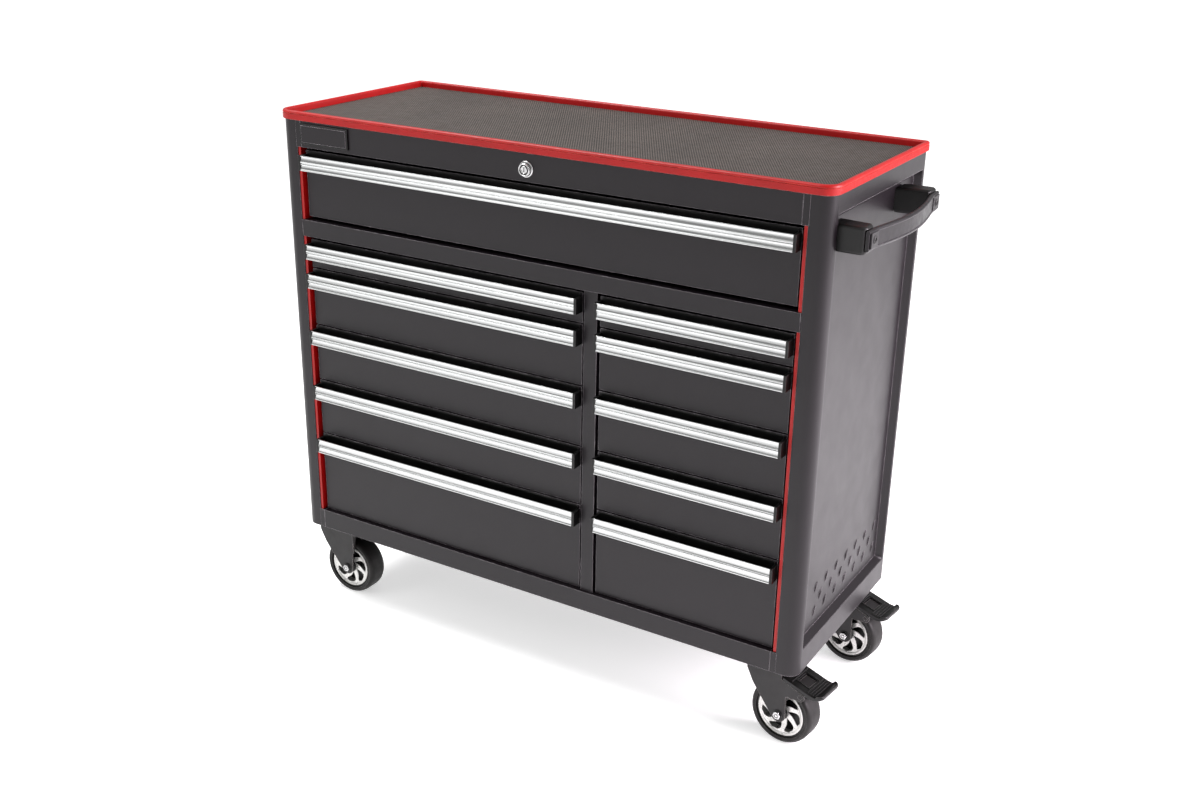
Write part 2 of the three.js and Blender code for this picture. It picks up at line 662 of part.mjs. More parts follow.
function addDrawers() {
  addDrawer('wide', WIDE_DRAWER.left, WIDE_DRAWER.right, WIDE_DRAWER);
  drawerRows().forEach((row, index) => {
    addDrawer(`left_${index + 1}`, LEFT_COLUMN.left, LEFT_COLUMN.right, row);
    addDrawer(`right_${index + 1}`, RIGHT_COLUMN.left, RIGHT_COLUMN.right, row);
  });
}

function addCaster(label, x, y, braked) {
  const plate = named(`caster_plate_${label}`, casterPlate(), 'fork_steel');
  plate.position.set(x, y, 0);
  chest.add(plate);

  const swivel = new THREE.Group();
  swivel.position.set(x, y, 0);
  swivel.rotation.z = braked ? TRAILING_ANGLE : 0;
  swivel.add(named(`caster_fork_${label}`, casterFork(braked), 'fork_steel'));
  if (braked) {
    swivel.add(named(`brake_pedal_${label}`, brakePedal(), 'black_plastic'));
  }

  const wheel = new THREE.Group();
  wheel.position.set(CASTER.trail, 0, WHEEL.radius);
  wheel.add(named(`wheel_rim_${label}`, wheelRim(), 'rim_silver'));
  wheel.add(named(`wheel_tyre_${label}`, wheelTyre(), 'tyre_rubber'));
  wheel.add(named(`wheel_axle_${label}`, wheelAxle(), 'chrome'));
  swivel.add(wheel);
  chest.add(swivel);
}

function addCasters() {
  addCaster('front_left', CASTER.leftX, CASTER.frontY, false);
  addCaster('rear_left', CASTER.leftX, CASTER.rearY, false);
  addCaster('front_right', CASTER.rightX, CASTER.frontY, true);
  addCaster('rear_right', CASTER.rightX, CASTER.rearY, true);
}

// Move the origin to the bottom centre of the bounding box.
function centreOrigin() {
  const bounds = new THREE.Box3().setFromObject(chest, true);
  chest.position.x = -(bounds.min.x + bounds.max.x) / 2;
  chest.position.y = -(bounds.min.y + bounds.max.y) / 2;
  chest.position.z = -bounds.min.z;
}

addCabinet();
addDrawers();
addCasters();
centreOrigin();

export default chest;
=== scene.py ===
import json
import math

import bmesh
import bpy
from mathutils import Matrix, Vector


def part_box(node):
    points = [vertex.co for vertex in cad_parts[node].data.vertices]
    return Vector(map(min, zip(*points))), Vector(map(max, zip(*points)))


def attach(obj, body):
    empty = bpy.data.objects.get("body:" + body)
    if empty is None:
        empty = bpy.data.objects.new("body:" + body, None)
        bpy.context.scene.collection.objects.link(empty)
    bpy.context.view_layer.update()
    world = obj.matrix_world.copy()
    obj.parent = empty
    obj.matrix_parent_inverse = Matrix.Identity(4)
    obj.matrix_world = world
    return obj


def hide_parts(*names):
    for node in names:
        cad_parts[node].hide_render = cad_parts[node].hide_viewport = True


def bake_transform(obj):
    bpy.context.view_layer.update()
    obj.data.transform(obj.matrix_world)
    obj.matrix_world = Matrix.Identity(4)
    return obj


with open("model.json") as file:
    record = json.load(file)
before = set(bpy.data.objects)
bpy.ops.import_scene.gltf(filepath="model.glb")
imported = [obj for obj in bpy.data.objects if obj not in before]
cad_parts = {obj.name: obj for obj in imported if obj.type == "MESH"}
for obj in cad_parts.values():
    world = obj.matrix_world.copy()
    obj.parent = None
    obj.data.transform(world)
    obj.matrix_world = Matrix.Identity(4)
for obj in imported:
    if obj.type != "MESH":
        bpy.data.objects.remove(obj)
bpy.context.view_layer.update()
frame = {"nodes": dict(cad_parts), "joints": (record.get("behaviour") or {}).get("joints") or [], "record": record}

MM = 0.001

# ---- measures read from the frame
PANEL_LOW, PANEL_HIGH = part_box("side_panel_left")[0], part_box("side_panel_right")[1]
LEFT, RIGHT = PANEL_LOW.x, PANEL_HIGH.x
FRONT, REAR = PANEL_LOW.y, PANEL_HIGH.y
BODY_BOTTOM, BODY_TOP = PANEL_LOW.z, PANEL_HIGH.z
CORNER, REAR_CORNER = 22 * MM, 4 * MM
SHEET = 1.2 * MM
GAP = 0.3 * MM

DRAWERS = ["wide"] + [f"{column}_{row}" for column in ("left", "right") for row in range(1, 6)]
CASTERS = ["front_left", "rear_left", "front_right", "rear_right"]
BRAKED = ["front_right", "rear_right"]
RED = "red_trim"
OUTWARD = (0, -1, 0)


# ---- materials
class Surface:
    """A Principled material whose colour, gloss and relief come from procedural nodes."""

    def __init__(self, name, **values):
        self.material = bpy.data.materials.new(name)
        self.material.use_nodes = True
        self.tree = self.material.node_tree
        self.shader = self.tree.nodes["Principled BSDF"]
        for socket, value in values.items():
            self.shader.inputs[socket.replace("_", " ")].default_value = value
        self.place = self.add("ShaderNodeTexCoord").outputs["Object"]

    def add(self, kind, inputs=(), **settings):
        node = self.tree.nodes.new(kind)
        for key, value in settings.items():
            setattr(node, key, value)
        for key, value in dict(inputs).items():
            if isinstance(value, bpy.types.NodeSocket):
                self.tree.links.new(value, node.inputs[key])
            else:
                node.inputs[key].default_value = value
        return node

    def link(self, output, socket):
        self.tree.links.new(output, self.shader.inputs[socket])

    def noise(self, scale, detail=3.0, stretch=None):
        place = self.place
        if stretch is not None:
            place = self.add("ShaderNodeMapping", {0: place, 3: stretch}).outputs[0]
        return self.add("ShaderNodeTexNoise", {"Vector": place, "Scale": scale, "Detail": detail}).outputs[0]

    def span(self, value, low, high, out_low, out_high):
        inputs = {0: value, 1: low, 2: high, 3: out_low, 4: out_high}
        return self.add("ShaderNodeMapRange", inputs).outputs[0]

    def patches(self, scale, detail, low, high):
        """Soft patches of noise that run from low to high."""
        return self.span(self.noise(scale, detail), 0.3, 0.7, low, high)

    def maths(self, operation, first, second=0.0):
        return self.add("ShaderNodeMath", {0: first, 1: second}, operation=operation).outputs[0]

    def mix(self, factor, first, second):
        node = self.add("ShaderNodeMix", {0: factor, 6: first, 7: second}, data_type="RGBA")
        return node.outputs[2]

    def edges(self, radius, amount):
        """Where the rounded normal turns away from the true one: a patchy mask for edge wear and a painted
        highlight along edges.
        """
        rounded = self.add("ShaderNodeBevel", {"Radius": radius}, samples=4).outputs[0]
        true = self.add("ShaderNodeNewGeometry").outputs["Normal"]
        dot = self.add("ShaderNodeVectorMath", {0: rounded, 1: true}, operation="DOT_PRODUCT")
        rim = self.span(dot.outputs["Value"], 0.97, 0.75, 0.0, amount)
        patchy = self.span(self.noise(70.0, 4.0), 0.42, 0.62, 0.45, 1.0)
        return self.maths("MULTIPLY", rim, patchy)

    def relief(self, height, distance, strength=1.0, rounding=0.5 * MM):
        """Sets the shader's normal: fine relief over edges that are softened by a small radius."""
        soft = self.add("ShaderNodeBevel", {"Radius": rounding}, samples=4).outputs[0]
        inputs = {"Strength": strength, "Distance": distance, "Height": height, "Normal": soft}
        self.link(self.add("ShaderNodeBump", inputs).outputs[0], "Normal")


def rgb(red, green, blue):
    """A linear colour from display values 0 to 255."""
    return tuple((value / 255) ** 2.2 for value in (red, green, blue)) + (1.0,)


def worn(name, dark, light, cloud, edge_wear_and_highlight, rough, grain, flecks=None, **values):
    """Uneven colour, edges painted lighter for wear and a painted highlight, and a fine grain, all made from
    noise.

    cloud is (scale, detail); edge_wear_and_highlight is (radius in mm, amount, colour of the worn and lit edges);
    rough is (scale, detail, lowest, highest); grain is (scale, height in mm, strength, rounding of edges in mm)."""
    s = Surface(name, **values)
    body = s.mix(s.patches(*cloud, 0.0, 1.0), rgb(*dark), rgb(*light))
    if flecks is not None:
        body = s.mix(s.span(s.noise(2600.0, 1.0), 0.55, 0.75, 0.0, 0.5), body, rgb(*flecks))
    radius, amount, colour = edge_wear_and_highlight
    # The edge colour paints patchy wear and a painted highlight along rounded edges.
    s.link(s.mix(s.edges(radius * MM, amount), body, rgb(*colour)), "Base Color")
    s.link(s.patches(*rough), "Roughness")
    scale, height, strength, rounding = grain
    s.relief(s.noise(scale, 2.0), height * MM, strength, rounding * MM)
    return s.material


def satin_aluminium():
    s = Surface("satin_aluminium", Metallic=1.0)
    brushed = s.noise(900.0, 3.0, stretch=(0.01, 1.0, 1.0))
    streak = s.span(brushed, 0.3, 0.7, 0.0, 1.0)
    metal = s.mix(streak, rgb(190, 192, 192), rgb(202, 203, 202))
    # Lighter edges: a painted highlight along the rounded edges, patchy like wear.
    s.link(s.mix(s.edges(0.4 * MM, 0.2), metal, rgb(236, 235, 230)), "Base Color")
    s.link(s.span(brushed, 0.3, 0.7, 0.13, 0.2), "Roughness")
    s.relief(brushed, 0.004 * MM, 0.3, 0.15 * MM)
    return s.material


def top_mat():
    """Staggered fine studs: three waves, a third of a turn apart, added up."""
    s = Surface("top_mat", Metallic=0.0, Specular_IOR_Level=0.35)
    split = s.add("ShaderNodeSeparateXYZ", {0: s.place})
    pitch = 4.6 * MM
    turns = 2 * math.pi / (pitch * math.sin(math.pi / 3))
    waves = []
    for angle in (90, 210, 330):
        along_x = s.maths("MULTIPLY", split.outputs["X"], turns * math.cos(math.radians(angle)))
        along_y = s.maths("MULTIPLY", split.outputs["Y"], turns * math.sin(math.radians(angle)))
        waves.append(s.maths("COSINE", s.maths("ADD", along_x, along_y)))
    studs = s.span(s.maths("ADD", s.maths("ADD", waves[0], waves[1]), waves[2]), -0.9, 2.0, 0.0, 1.0)
    cloud = s.patches(9.0, 5.0, 0.0, 1.0)
    # Painted shade in the valleys between studs and a painted highlight on the stud crowns.
    shaded_valley = s.mix(cloud, rgb(15, 13, 12), rgb(19, 17, 16))
    lit_crown = s.mix(cloud, rgb(96, 88, 82), rgb(108, 99, 92))
    s.link(s.mix(studs, shaded_valley, lit_crown), "Base Color")
    s.link(s.patches(60.0, 4.0, 0.62, 0.8), "Roughness")
    s.relief(studs, 0.6 * MM, 1.0, 0.6 * MM)
    return s.material


def moulded(name, dark, light, gloss, grain_scale=900.0):
    """Moulded plastic or rubber, with edges painted much paler: wear and a painted highlight."""
    worn_lit_edge_colour = tuple(value * 1.5 + 104 for value in light)
    return worn(name, dark, light, (24.0, 4.0), (1.1, 0.8, worn_lit_edge_colour), (90.0, 4.0, gloss, gloss + 0.14),
                (grain_scale, 0.08, 0.5, 0.6), Metallic=0.0, Specular_IOR_Level=0.36)


def bare_metal(name, dark, light, gloss, metallic=1.0):
    """Plated or painted metal with faint smears, and near-white edges: a painted glint with patchy wear."""
    return worn(name, dark, light, (45.0, 5.0), (0.5, 0.4, (250, 250, 250)),
                (120.0, 4.0, gloss, gloss + 0.12), (700.0, 0.008, 0.3, 0.3), Metallic=metallic)


def floor_material():
    s = Surface("studio_floor", Roughness=0.6, Specular_IOR_Level=0.2, Emission_Strength=0.5)
    s.shader.inputs["Emission Color"].default_value = (1.0, 1.0, 1.0, 1.0)
    s.link(s.mix(s.noise(0.7, 3.0), rgb(243, 243, 243), rgb(247, 247, 247)), "Base Color")
    return s.material


FINISH = {
    # Its pale edge colour is a painted highlight along rolled edges, with wear.
    "powder_coat": worn(
        "powder_coat", (22, 17, 21), (25, 20, 24), (3.0, 3.0), (1.6, 1.0, (184, 176, 182)),
        (26.0, 4.0, 0.36, 0.41), (1300.0, 0.05, 0.5, 0.8), (46, 42, 47), Metallic=0.0,
        Specular_IOR_Level=0.34),
    "satin_aluminium": satin_aluminium(),
    # Its salmon edge colour is a painted highlight along the bead and edges, with wear.
    RED: worn(
        RED, (146, 2, 4), (160, 5, 7), (14.0, 4.0), (1.3, 0.8, (244, 96, 84)),
        (160.0, 3.0, 0.34, 0.5), (1500.0, 0.08, 0.6, 0.5), Metallic=0.0, Specular_IOR_Level=0.35),
    "top_mat": top_mat(),
    "black_plastic": moulded("black_plastic", (7, 6, 6), (11, 10, 9), 0.36),
    "grip_coat": moulded("grip_coat", (20, 16, 20), (25, 21, 25), 0.3, 1400.0),
    "chrome": bare_metal("chrome", (188, 188, 188), (206, 206, 206), 0.1),
    "rim_silver": bare_metal("rim_silver", (196, 195, 192), (212, 211, 208), 0.24, 0.7),
    "tyre_rubber": moulded("tyre_rubber", (18, 15, 14), (25, 22, 21), 0.46),
    # Its pale edge colour is a painted highlight along the fork's edges, with wear.
    "fork_steel": worn(
        "fork_steel", (23, 20, 21), (29, 26, 27), (20.0, 4.0), (1.5, 1.0, (186, 178, 176)),
        (60.0, 4.0, 0.38, 0.52), (1100.0, 0.06, 0.5, 0.8), Metallic=0.0, Specular_IOR_Level=0.4),
}


# ---- mesh helpers
def add_piece(name, bm, slot, body, angle=35.0):
    """Makes an object from a bmesh, gives it its finish and lets it ride on a body."""
    bmesh.ops.recalc_face_normals(bm, faces=bm.faces)
    obj = object_from(bm, name)
    finish_piece(obj, slot, angle)
    if body is not None:
        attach(obj, body)
    return obj


def finish_piece(obj, slot, angle=35.0):
    """Gives an object its finish, and flat shading on its flat faces."""
    obj.data.materials.clear()
    obj.data.materials.append(FINISH[slot])
    obj.data.shade_smooth()
    obj.data.set_sharp_from_angle(angle=math.radians(angle))
    firm = obj.modifiers.get("firm") or obj.modifiers.new("firm", "WEIGHTED_NORMAL")
    firm.keep_sharp = True
    firm.weight = 80


def settle(obj):
    """Replaces an object's mesh with what its modifiers make of it."""
    graph = bpy.context.evaluated_depsgraph_get()
    mesh = bpy.data.meshes.new_from_object(obj.evaluated_get(graph))
    obj.modifiers.clear()
    obj.data = mesh


def carve(obj, tool_bm):
    """Cuts the solids of tool_bm out of obj."""
    bmesh.ops.recalc_face_normals(tool_bm, faces=tool_bm.faces)
    tool = object_from(tool_bm, "tool")
    cutter = obj.modifiers.new("carve", "BOOLEAN")
    cutter.operation = "DIFFERENCE"
    cutter.solver = "EXACT"
    cutter.object = tool
    settle(obj)
    bpy.data.objects.remove(tool)


def object_from(bm, name):
    """Links a new object made of a bmesh, which is freed."""
    mesh = bpy.data.meshes.new(name)
    bm.to_mesh(mesh)
    bm.free()
    obj = bpy.data.objects.new(name, mesh)
    bpy.context.scene.collection.objects.link(obj)
    return obj


def bridge(bm, rings, closed=True, wrap=False):
    """Quads between neighbouring rings of vertices; wrap also joins the last ring to the first."""
    count = len(rings[0])
    pairs = list(zip(rings, rings[1:]))
    if wrap:
        pairs.append((rings[-1], rings[0]))
    for first, second in pairs:
        for i in range(count if closed else count - 1):
            j = (i + 1) % count
            bm.faces.new((first[i], first[j], second[j], second[i]))


def ring(bm, points):
    return [bm.verts.new(point) for point in points]


def loft(bm, rings):
    """A closed skin over rings of vertices, with a face at both ends; gives the two faces."""
    bridge(bm, rings)
    return [bm.faces.new(rings[0][::-1]), bm.faces.new(rings[-1])]


def bevel(bm, edges, radius, segments):
    if radius > 0:
        bmesh.ops.bevel(bm, geom=list(edges), offset=radius, segments=segments, profile=0.5, affect="EDGES")


def block(bm, low, high, radius=0.0, segments=2):
    """A box between two corners, with rounded edges."""
    low, high = Vector(low), Vector(high)
    made = bmesh.ops.create_cube(bm, size=1.0)["verts"]
    for vert in made:
        vert.co = Vector(low[k] + (high[k] - low[k]) * (vert.co[k] + 0.5) for k in range(3))
    bevel(bm, {edge for vert in made for edge in vert.link_edges}, radius, segments)


def prism(bm, points, start, end, place, radius=0.0, segments=2):
    """A closed outline of (u, v) points drawn from start to end; place(u, v, w) gives the point."""
    near = ring(bm, [place(u, v, start) for u, v in points])
    far = ring(bm, [place(u, v, end) for u, v in points])
    caps = loft(bm, [near, far])
    bevel(bm, {edge for cap in caps for edge in cap.edges}, radius, segments)


def arc(centre_u, centre_v, radius, start, end, steps):
    points = []
    for i in range(steps + 1):
        angle = math.radians(start + (end - start) * i / steps)
        points.append((centre_u + radius * math.cos(angle), centre_v + radius * math.sin(angle)))
    return points


def round_corners(points, radius, steps=3):
    """A closed outline with each corner rounded off."""
    rounded = []
    for i, point in enumerate(points):
        corner = Vector(point)
        before = Vector(points[i - 1]) - corner
        after = Vector(points[(i + 1) % len(points)]) - corner
        reach = min(radius, before.length / 2.2, after.length / 2.2)
        start = corner + before.normalized() * reach
        end = corner + after.normalized() * reach
        for step in range(steps + 1):
            t = step / steps
            rounded.append(tuple(start * (1 - t) ** 2 + corner * 2 * t * (1 - t) + end * t * t))
    return rounded


def pillow(bm, points, low, high, radius, place, steps=5):
    """A convex outline drawn from low to high whose two end faces roll over with a radius."""
    count = len(points)
    ways = []
    for i in range(count):
        before = (Vector(points[i]) - Vector(points[i - 1])).normalized()
        after = (Vector(points[(i + 1) % count]) - Vector(points[i])).normalized()
        inward = Vector((-before.y - after.y, before.x + after.x))
        inward.normalize()
        ways.append(inward / max(inward.dot(Vector((-after.y, after.x))), 0.4))
    area = sum(points[i - 1][0] * points[i][1] - points[i][0] * points[i - 1][1] for i in range(count))
    turn = 1 if area > 0 else -1
    levels = []
    for i in range(steps + 1):
        angle = math.pi / 2 * i / steps
        levels.append((radius * (1 - math.sin(angle)), low + radius * (1 - math.cos(angle))))
    levels += [(inset, high + low - at) for inset, at in reversed(levels)]
    rings = []
    for inset, at in levels:
        moved = [Vector(point) + way * turn * inset for point, way in zip(points, ways)]
        rings.append(ring(bm, [place(u, v, at) for u, v in moved]))
    loft(bm, rings)


def lathe(bm, profile, centre, axis, segments=48, closed=False):
    """Turns (radius, along) points in mm about an axis. Open profiles end on the axis."""
    turn = Vector((0, 0, 1)).rotation_difference(Vector(axis)).to_matrix()
    centre = Vector(centre)
    rings = []
    for radius, along in profile:
        points = []
        for i in range(segments):
            angle = 2 * math.pi * i / segments
            spoke = Vector((radius * math.cos(angle), radius * math.sin(angle), along)) * MM
            points.append(centre + turn @ spoke)
        rings.append(ring(bm, points))
    bridge(bm, rings, wrap=closed)
    if not closed:
        bmesh.ops.remove_doubles(bm, verts=rings[0] + rings[-1], dist=1e-7)


def turned(name, profile, centre, axis, slot, body, segments=48, closed=True, angle=35.0):
    """A piece made of one turned profile, given in mm."""
    bm = bmesh.new()
    lathe(bm, profile, centre, axis, segments, closed)
    return add_piece(name, bm, slot, body, angle)


def drawn(name, outline, start, end, place, slot, body, radius=0.0, angle=35.0):
    """A piece made of one prism."""
    bm = bmesh.new()
    prism(bm, outline, start, end, place, radius)
    return add_piece(name, bm, slot, body, angle)


def along_x(u, v, w):
    return Vector((w, u, v))


def along_y(u, v, w):
    return Vector((u, w, v))


def soften(node, width):
    """Rounds a kept frame part's sharp edges with modifiers; its own mesh stays as packed."""
    obj = frame["nodes"][node]
    flat = obj.modifiers.new("flat", "DECIMATE")
    flat.decimate_type = "DISSOLVE"
    flat.angle_limit = math.radians(1.0)
    edge = obj.modifiers.new("edge", "BEVEL")
    edge.width = width
    edge.segments = 2
    edge.limit_method = "ANGLE"
    edge.angle_limit = math.radians(40.0)
    edge.miter_outer = "MITER_ARC"


def joint_named(name):
    return next(joint for joint in frame["joints"] if joint["name"] == name)


def plan_loop(grow, arc_steps=8, straight_pitch=None):
    """Points and outward normals round the cabinet's plan, its corners rounded, grown by grow."""
    corners = [
        (LEFT + CORNER, FRONT + CORNER, CORNER, 180),
        (RIGHT - CORNER, FRONT + CORNER, CORNER, 270),
        (RIGHT - REAR_CORNER, REAR - REAR_CORNER, REAR_CORNER, 0),
        (LEFT + REAR_CORNER, REAR - REAR_CORNER, REAR_CORNER, 90),
    ]
    samples = []
    for x, y, radius, start in corners:
        for i in range(arc_steps + 1):
            angle = math.radians(start + 90 * i / arc_steps)
            normal = Vector((math.cos(angle), math.sin(angle)))
            samples.append((Vector((x, y)) + normal * max(radius + grow, 1 * MM), normal))
    if straight_pitch is None:
        return samples
    filled = []
    for i, (point, normal) in enumerate(samples):
        after, _ = samples[(i + 1) % len(samples)]
        filled.append((point, normal))
        count = int((after - point).length / straight_pitch)
        if (i + 1) % (arc_steps + 1) == 0:
            for k in range(1, count):
                filled.append((point.lerp(after, k / count), normal))
    return filled


# ---- side panels
RECESS = {"front": 25 * MM, "rear": 402 * MM, "low": 43 * MM, "high": 782 * MM, "depth": 13 * MM,
          "front_wall": 3.2 * MM, "rear_wall": 9 * MM, "low_wall": 9 * MM, "high_wall": 1.6 * MM,
          "gutter": 6 * MM, "gutter_width": 9 * MM}
LOUVRE = {"length": 19 * MM, "lean": 1.05, "front": 96 * MM, "high": 125 * MM, "pitch": 45.5 * MM,
          "drop": 22.5 * MM, "columns": (7, 6, 7), "proud": 1.5 * MM, "reach": 4.5 * MM,
          "bow": 3.0 * MM, "slot": 0.85 * MM}
STILE, STILE_DEPTH, EAR = 37.4 * MM, 20 * MM, 46.8 * MM


def ease(share):
    """A straight ramp from 0 to 1 whose two ends are rounded."""
    fillet = 0.12
    share = min(max(share, 0.0), 1.0)
    if share < fillet:
        return share * share / (2 * fillet * (1 - fillet))
    if share > 1 - fillet:
        return 1 - (1 - share) ** 2 / (2 * fillet * (1 - fillet))
    return (share - fillet / 2) / (1 - fillet)


def press_depth(y, z):
    """How far the side field is pressed in at (y, z), measured from the body's front and foot.

    A gutter runs along its head, so that the flange above it stands out."""
    across = ease((y - RECESS["front"]) / RECESS["front_wall"])
    across *= ease((RECESS["rear"] - y) / RECESS["rear_wall"])
    up = ease((z - RECESS["low"]) / RECESS["low_wall"])
    up *= ease((RECESS["high"] - z) / RECESS["high_wall"])
    below_flange = (RECESS["high"] - RECESS["high_wall"] - z) / RECESS["gutter_width"]
    gutter = RECESS["gutter"] * (1 - ease(below_flange))
    return (RECESS["depth"] + gutter) * across * up


def fine_near(edges, low, high, reach, fine, coarse):
    """Grid lines from low to high: close together within reach of each edge, sparse elsewhere."""
    lines = [low]
    while lines[-1] < high - fine / 2:
        here = lines[-1]
        near = any(abs(here - edge) < reach for edge in edges)
        step = fine if near else coarse
        ahead = [edge - reach for edge in edges if edge - reach > here + fine / 2]
        if not near and ahead:
            step = min(step, min(ahead) - here + fine / 4)
        lines.append(min(here + step, high))
    return lines


def panel_section():
    """The panel's plan section, as (distance in from the outer face, distance from the front, pressed)."""
    edges = [RECESS["front"] + RECESS["front_wall"] / 2, RECESS["rear"] - RECESS["rear_wall"] / 2]
    section = [(STILE, STILE_DEPTH, False), (STILE, 2 * MM, False), (STILE - 0.6 * MM, 0.6 * MM, False),
               (STILE - 2 * MM, 0.0, False)]
    section += [(x, y, False) for x, y in arc(CORNER, CORNER, CORNER, 270, 180, 10)]
    start, end = CORNER, REAR - FRONT - REAR_CORNER
    lines = fine_near(edges, start, end, 6 * MM, 0.8 * MM, 45 * MM)
    section += [(0.0, y, True) for y in lines[1:]]
    depth = REAR - FRONT
    section += [(x, y, False) for x, y in arc(REAR_CORNER, depth - REAR_CORNER, REAR_CORNER, 180, 90, 4)][1:]
    section.append((20 * MM, depth, False))
    return section


def louvre_centres():
    for row, columns in enumerate(LOUVRE["columns"]):
        shift = LOUVRE["pitch"] * (row % 2) / 2
        for column in range(columns):
            yield LOUVRE["front"] + shift + LOUVRE["pitch"] * column, LOUVRE["high"] - LOUVRE["drop"] * row


def louvre_slots():
    """Bowed outlines of the slots, as (y, z) from the body's front and foot."""
    run, rise = math.cos(LOUVRE["lean"]), math.sin(LOUVRE["lean"])
    steps = 6
    for y, z in louvre_centres():
        shape = []
        for edge in (0, 1):
            for i in range(steps + 1):
                t = (i if edge == 0 else steps - i) / steps
                along = (t - 0.5) * LOUVRE["length"]
                back = LOUVRE["slot"] * (edge - 0.5) - LOUVRE["bow"] * math.sin(math.pi * t)
                shape.append((y + run * along + rise * back, z + rise * along - run * back))
        yield shape


def side_skin(side, place, inward):
    """The side's outer skin as sheet of the right thickness, pressed in over its field."""
    section = panel_section()
    walls = [RECESS["low"] + RECESS["low_wall"] / 2, RECESS["high"] - RECESS["high_wall"] / 2]
    levels = fine_near(walls, 0.0, BODY_TOP - BODY_BOTTOM, 12 * MM, 0.8 * MM, 60 * MM)
    bm = bmesh.new()
    rings = []
    for z in levels:
        rings.append(ring(bm, [place(x + (press_depth(y, z) if pressed else 0), y, z)
                               for x, y, pressed in section]))
    bridge(bm, rings, closed=False)
    bm.normal_update()
    widest = max(bm.faces, key=lambda face: face.calc_area())
    if widest.normal.x * inward > 0:
        bmesh.ops.reverse_faces(bm, faces=bm.faces)
    skin = object_from(bm, f"side_skin_{side}")
    wall = skin.modifiers.new("wall", "SOLIDIFY")
    wall.thickness = SHEET
    wall.offset = -1
    settle(skin)
    return skin


def side_ears(side, place):
    """The folded ears that close the stile at its foot and beside the fascia."""
    fittings = bmesh.new()
    for low, high in ((0.0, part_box("base_pan")[1].z - BODY_BOTTOM),
                      (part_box("top_rail")[0].z - BODY_BOTTOM, BODY_TOP - BODY_BOTTOM)):
        corners = (place(STILE - 2 * MM, 0, low), place(EAR, SHEET, high))
        lowest = [min(corners[0][k], corners[1][k]) for k in range(3)]
        highest = [max(corners[0][k], corners[1][k]) for k in range(3)]
        block(fittings, lowest, highest, 0.3 * MM)
    add_piece(f"side_ears_{side}", fittings, "powder_coat", "cabinet")


def side_panel(side):
    """The pressed side sheet with its slots, and what is fixed to it."""
    inward = 1 if side == "left" else -1
    outer = LEFT if side == "left" else RIGHT

    def place(x, y, z):
        return Vector((outer + inward * x, FRONT + y, BODY_BOTTOM + z))

    skin = side_skin(side, place, inward)
    slots = bmesh.new()
    floor, reach = RECESS["depth"], 4 * MM
    for shape in louvre_slots():
        prism(slots, shape, floor - reach, floor + reach, lambda u, v, w: place(w, u, v))
    carve(skin, slots)
    finish_piece(skin, "powder_coat", 30.0)
    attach(skin, "cabinet")
    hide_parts(f"side_panel_{side}")
    side_ears(side, place)
    louvre_hoods(side, place)
    slide_rack(side, place)


def louvre_hoods(side, place):
    """A pressed half-moon lip over each slot, open towards the front."""
    bm = bmesh.new()
    floor = RECESS["depth"]
    run, rise = math.cos(LOUVRE["lean"]), math.sin(LOUVRE["lean"])
    long_steps, wide_steps = 10, 5
    for y, z in louvre_centres():
        rings = []
        for j in range(wide_steps + 1):
            w = j / wide_steps
            points = []
            for i in range(long_steps + 1):
                t = i / long_steps
                swell = math.sin(math.pi * t)
                along = (t - 0.5) * (LOUVRE["length"] + 2 * MM)
                back = (w * LOUVRE["reach"] - (1 - w) * LOUVRE["bow"]) * swell + 0.5 * MM
                lift = LOUVRE["proud"] * swell ** 0.7 * math.cos(math.pi * w / 2)
                points.append(place(floor - lift + 0.05 * MM, y + run * along + rise * back,
                                    z + rise * along - run * back))
            rings.append(ring(bm, points))
        bridge(bm, rings, closed=False)
    hoods = add_piece(f"louvre_hoods_{side}", bm, "powder_coat", "cabinet", 60.0)
    lip = hoods.modifiers.new("lip", "SOLIDIFY")
    lip.thickness = 0.6 * MM
    lip.offset = 0


def slide_height(label):
    low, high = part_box(f"drawer_box_{label}")
    return low.z + 4 * MM + min((high.z - low.z) * 0.4, 40 * MM)


RAIL_SECTION = [(0.0, -18.0), (2.6, -18.0), (2.6, -14.6), (1.0, -13.6), (1.0, 13.6), (2.6, 14.6),
                (2.6, 18.0), (0.0, 18.0)]


def rail_member(bm, x, inward, z, front, rear, scale=1.0, depth=1.0):
    """A rolled ball-slide member: a shallow channel along Y whose lips face inward."""
    shape = [(x + inward * u * MM * depth, z + v * MM * scale) for u, v in RAIL_SECTION]
    prism(bm, shape, front, rear, along_y)


def slide_rack(side, place):
    """Posts and fixed slide members behind a side panel."""
    inward = 1 if side == "left" else -1
    labels = [label for label in DRAWERS if label == "wide" or label.startswith(side)]
    posts = bmesh.new()
    foot, head = 20 * MM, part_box("top_rail")[0].z - BODY_BOTTOM - 6 * MM
    for start in (34 * MM, 352 * MM):
        shape = [(14.5, 0.0), (47.4, 0.0), (47.4, 1.4), (16.0, 1.4), (16.0, 24.6), (47.4, 24.6),
                 (47.4, 26.0), (14.5, 26.0)]
        points = [(x * MM, start + y * MM) for x, y in shape]
        prism(posts, points, foot, head, place)
    add_piece(f"slide_posts_{side}", posts, "fork_steel", "cabinet")
    rails = bmesh.new()
    for label in labels:
        x = place(47.7 * MM, 0, 0).x
        rail_member(rails, x, inward, slide_height(label), FRONT + 32 * MM, FRONT + 378 * MM)
    add_piece(f"slide_fixed_{side}", rails, "chrome", "cabinet")


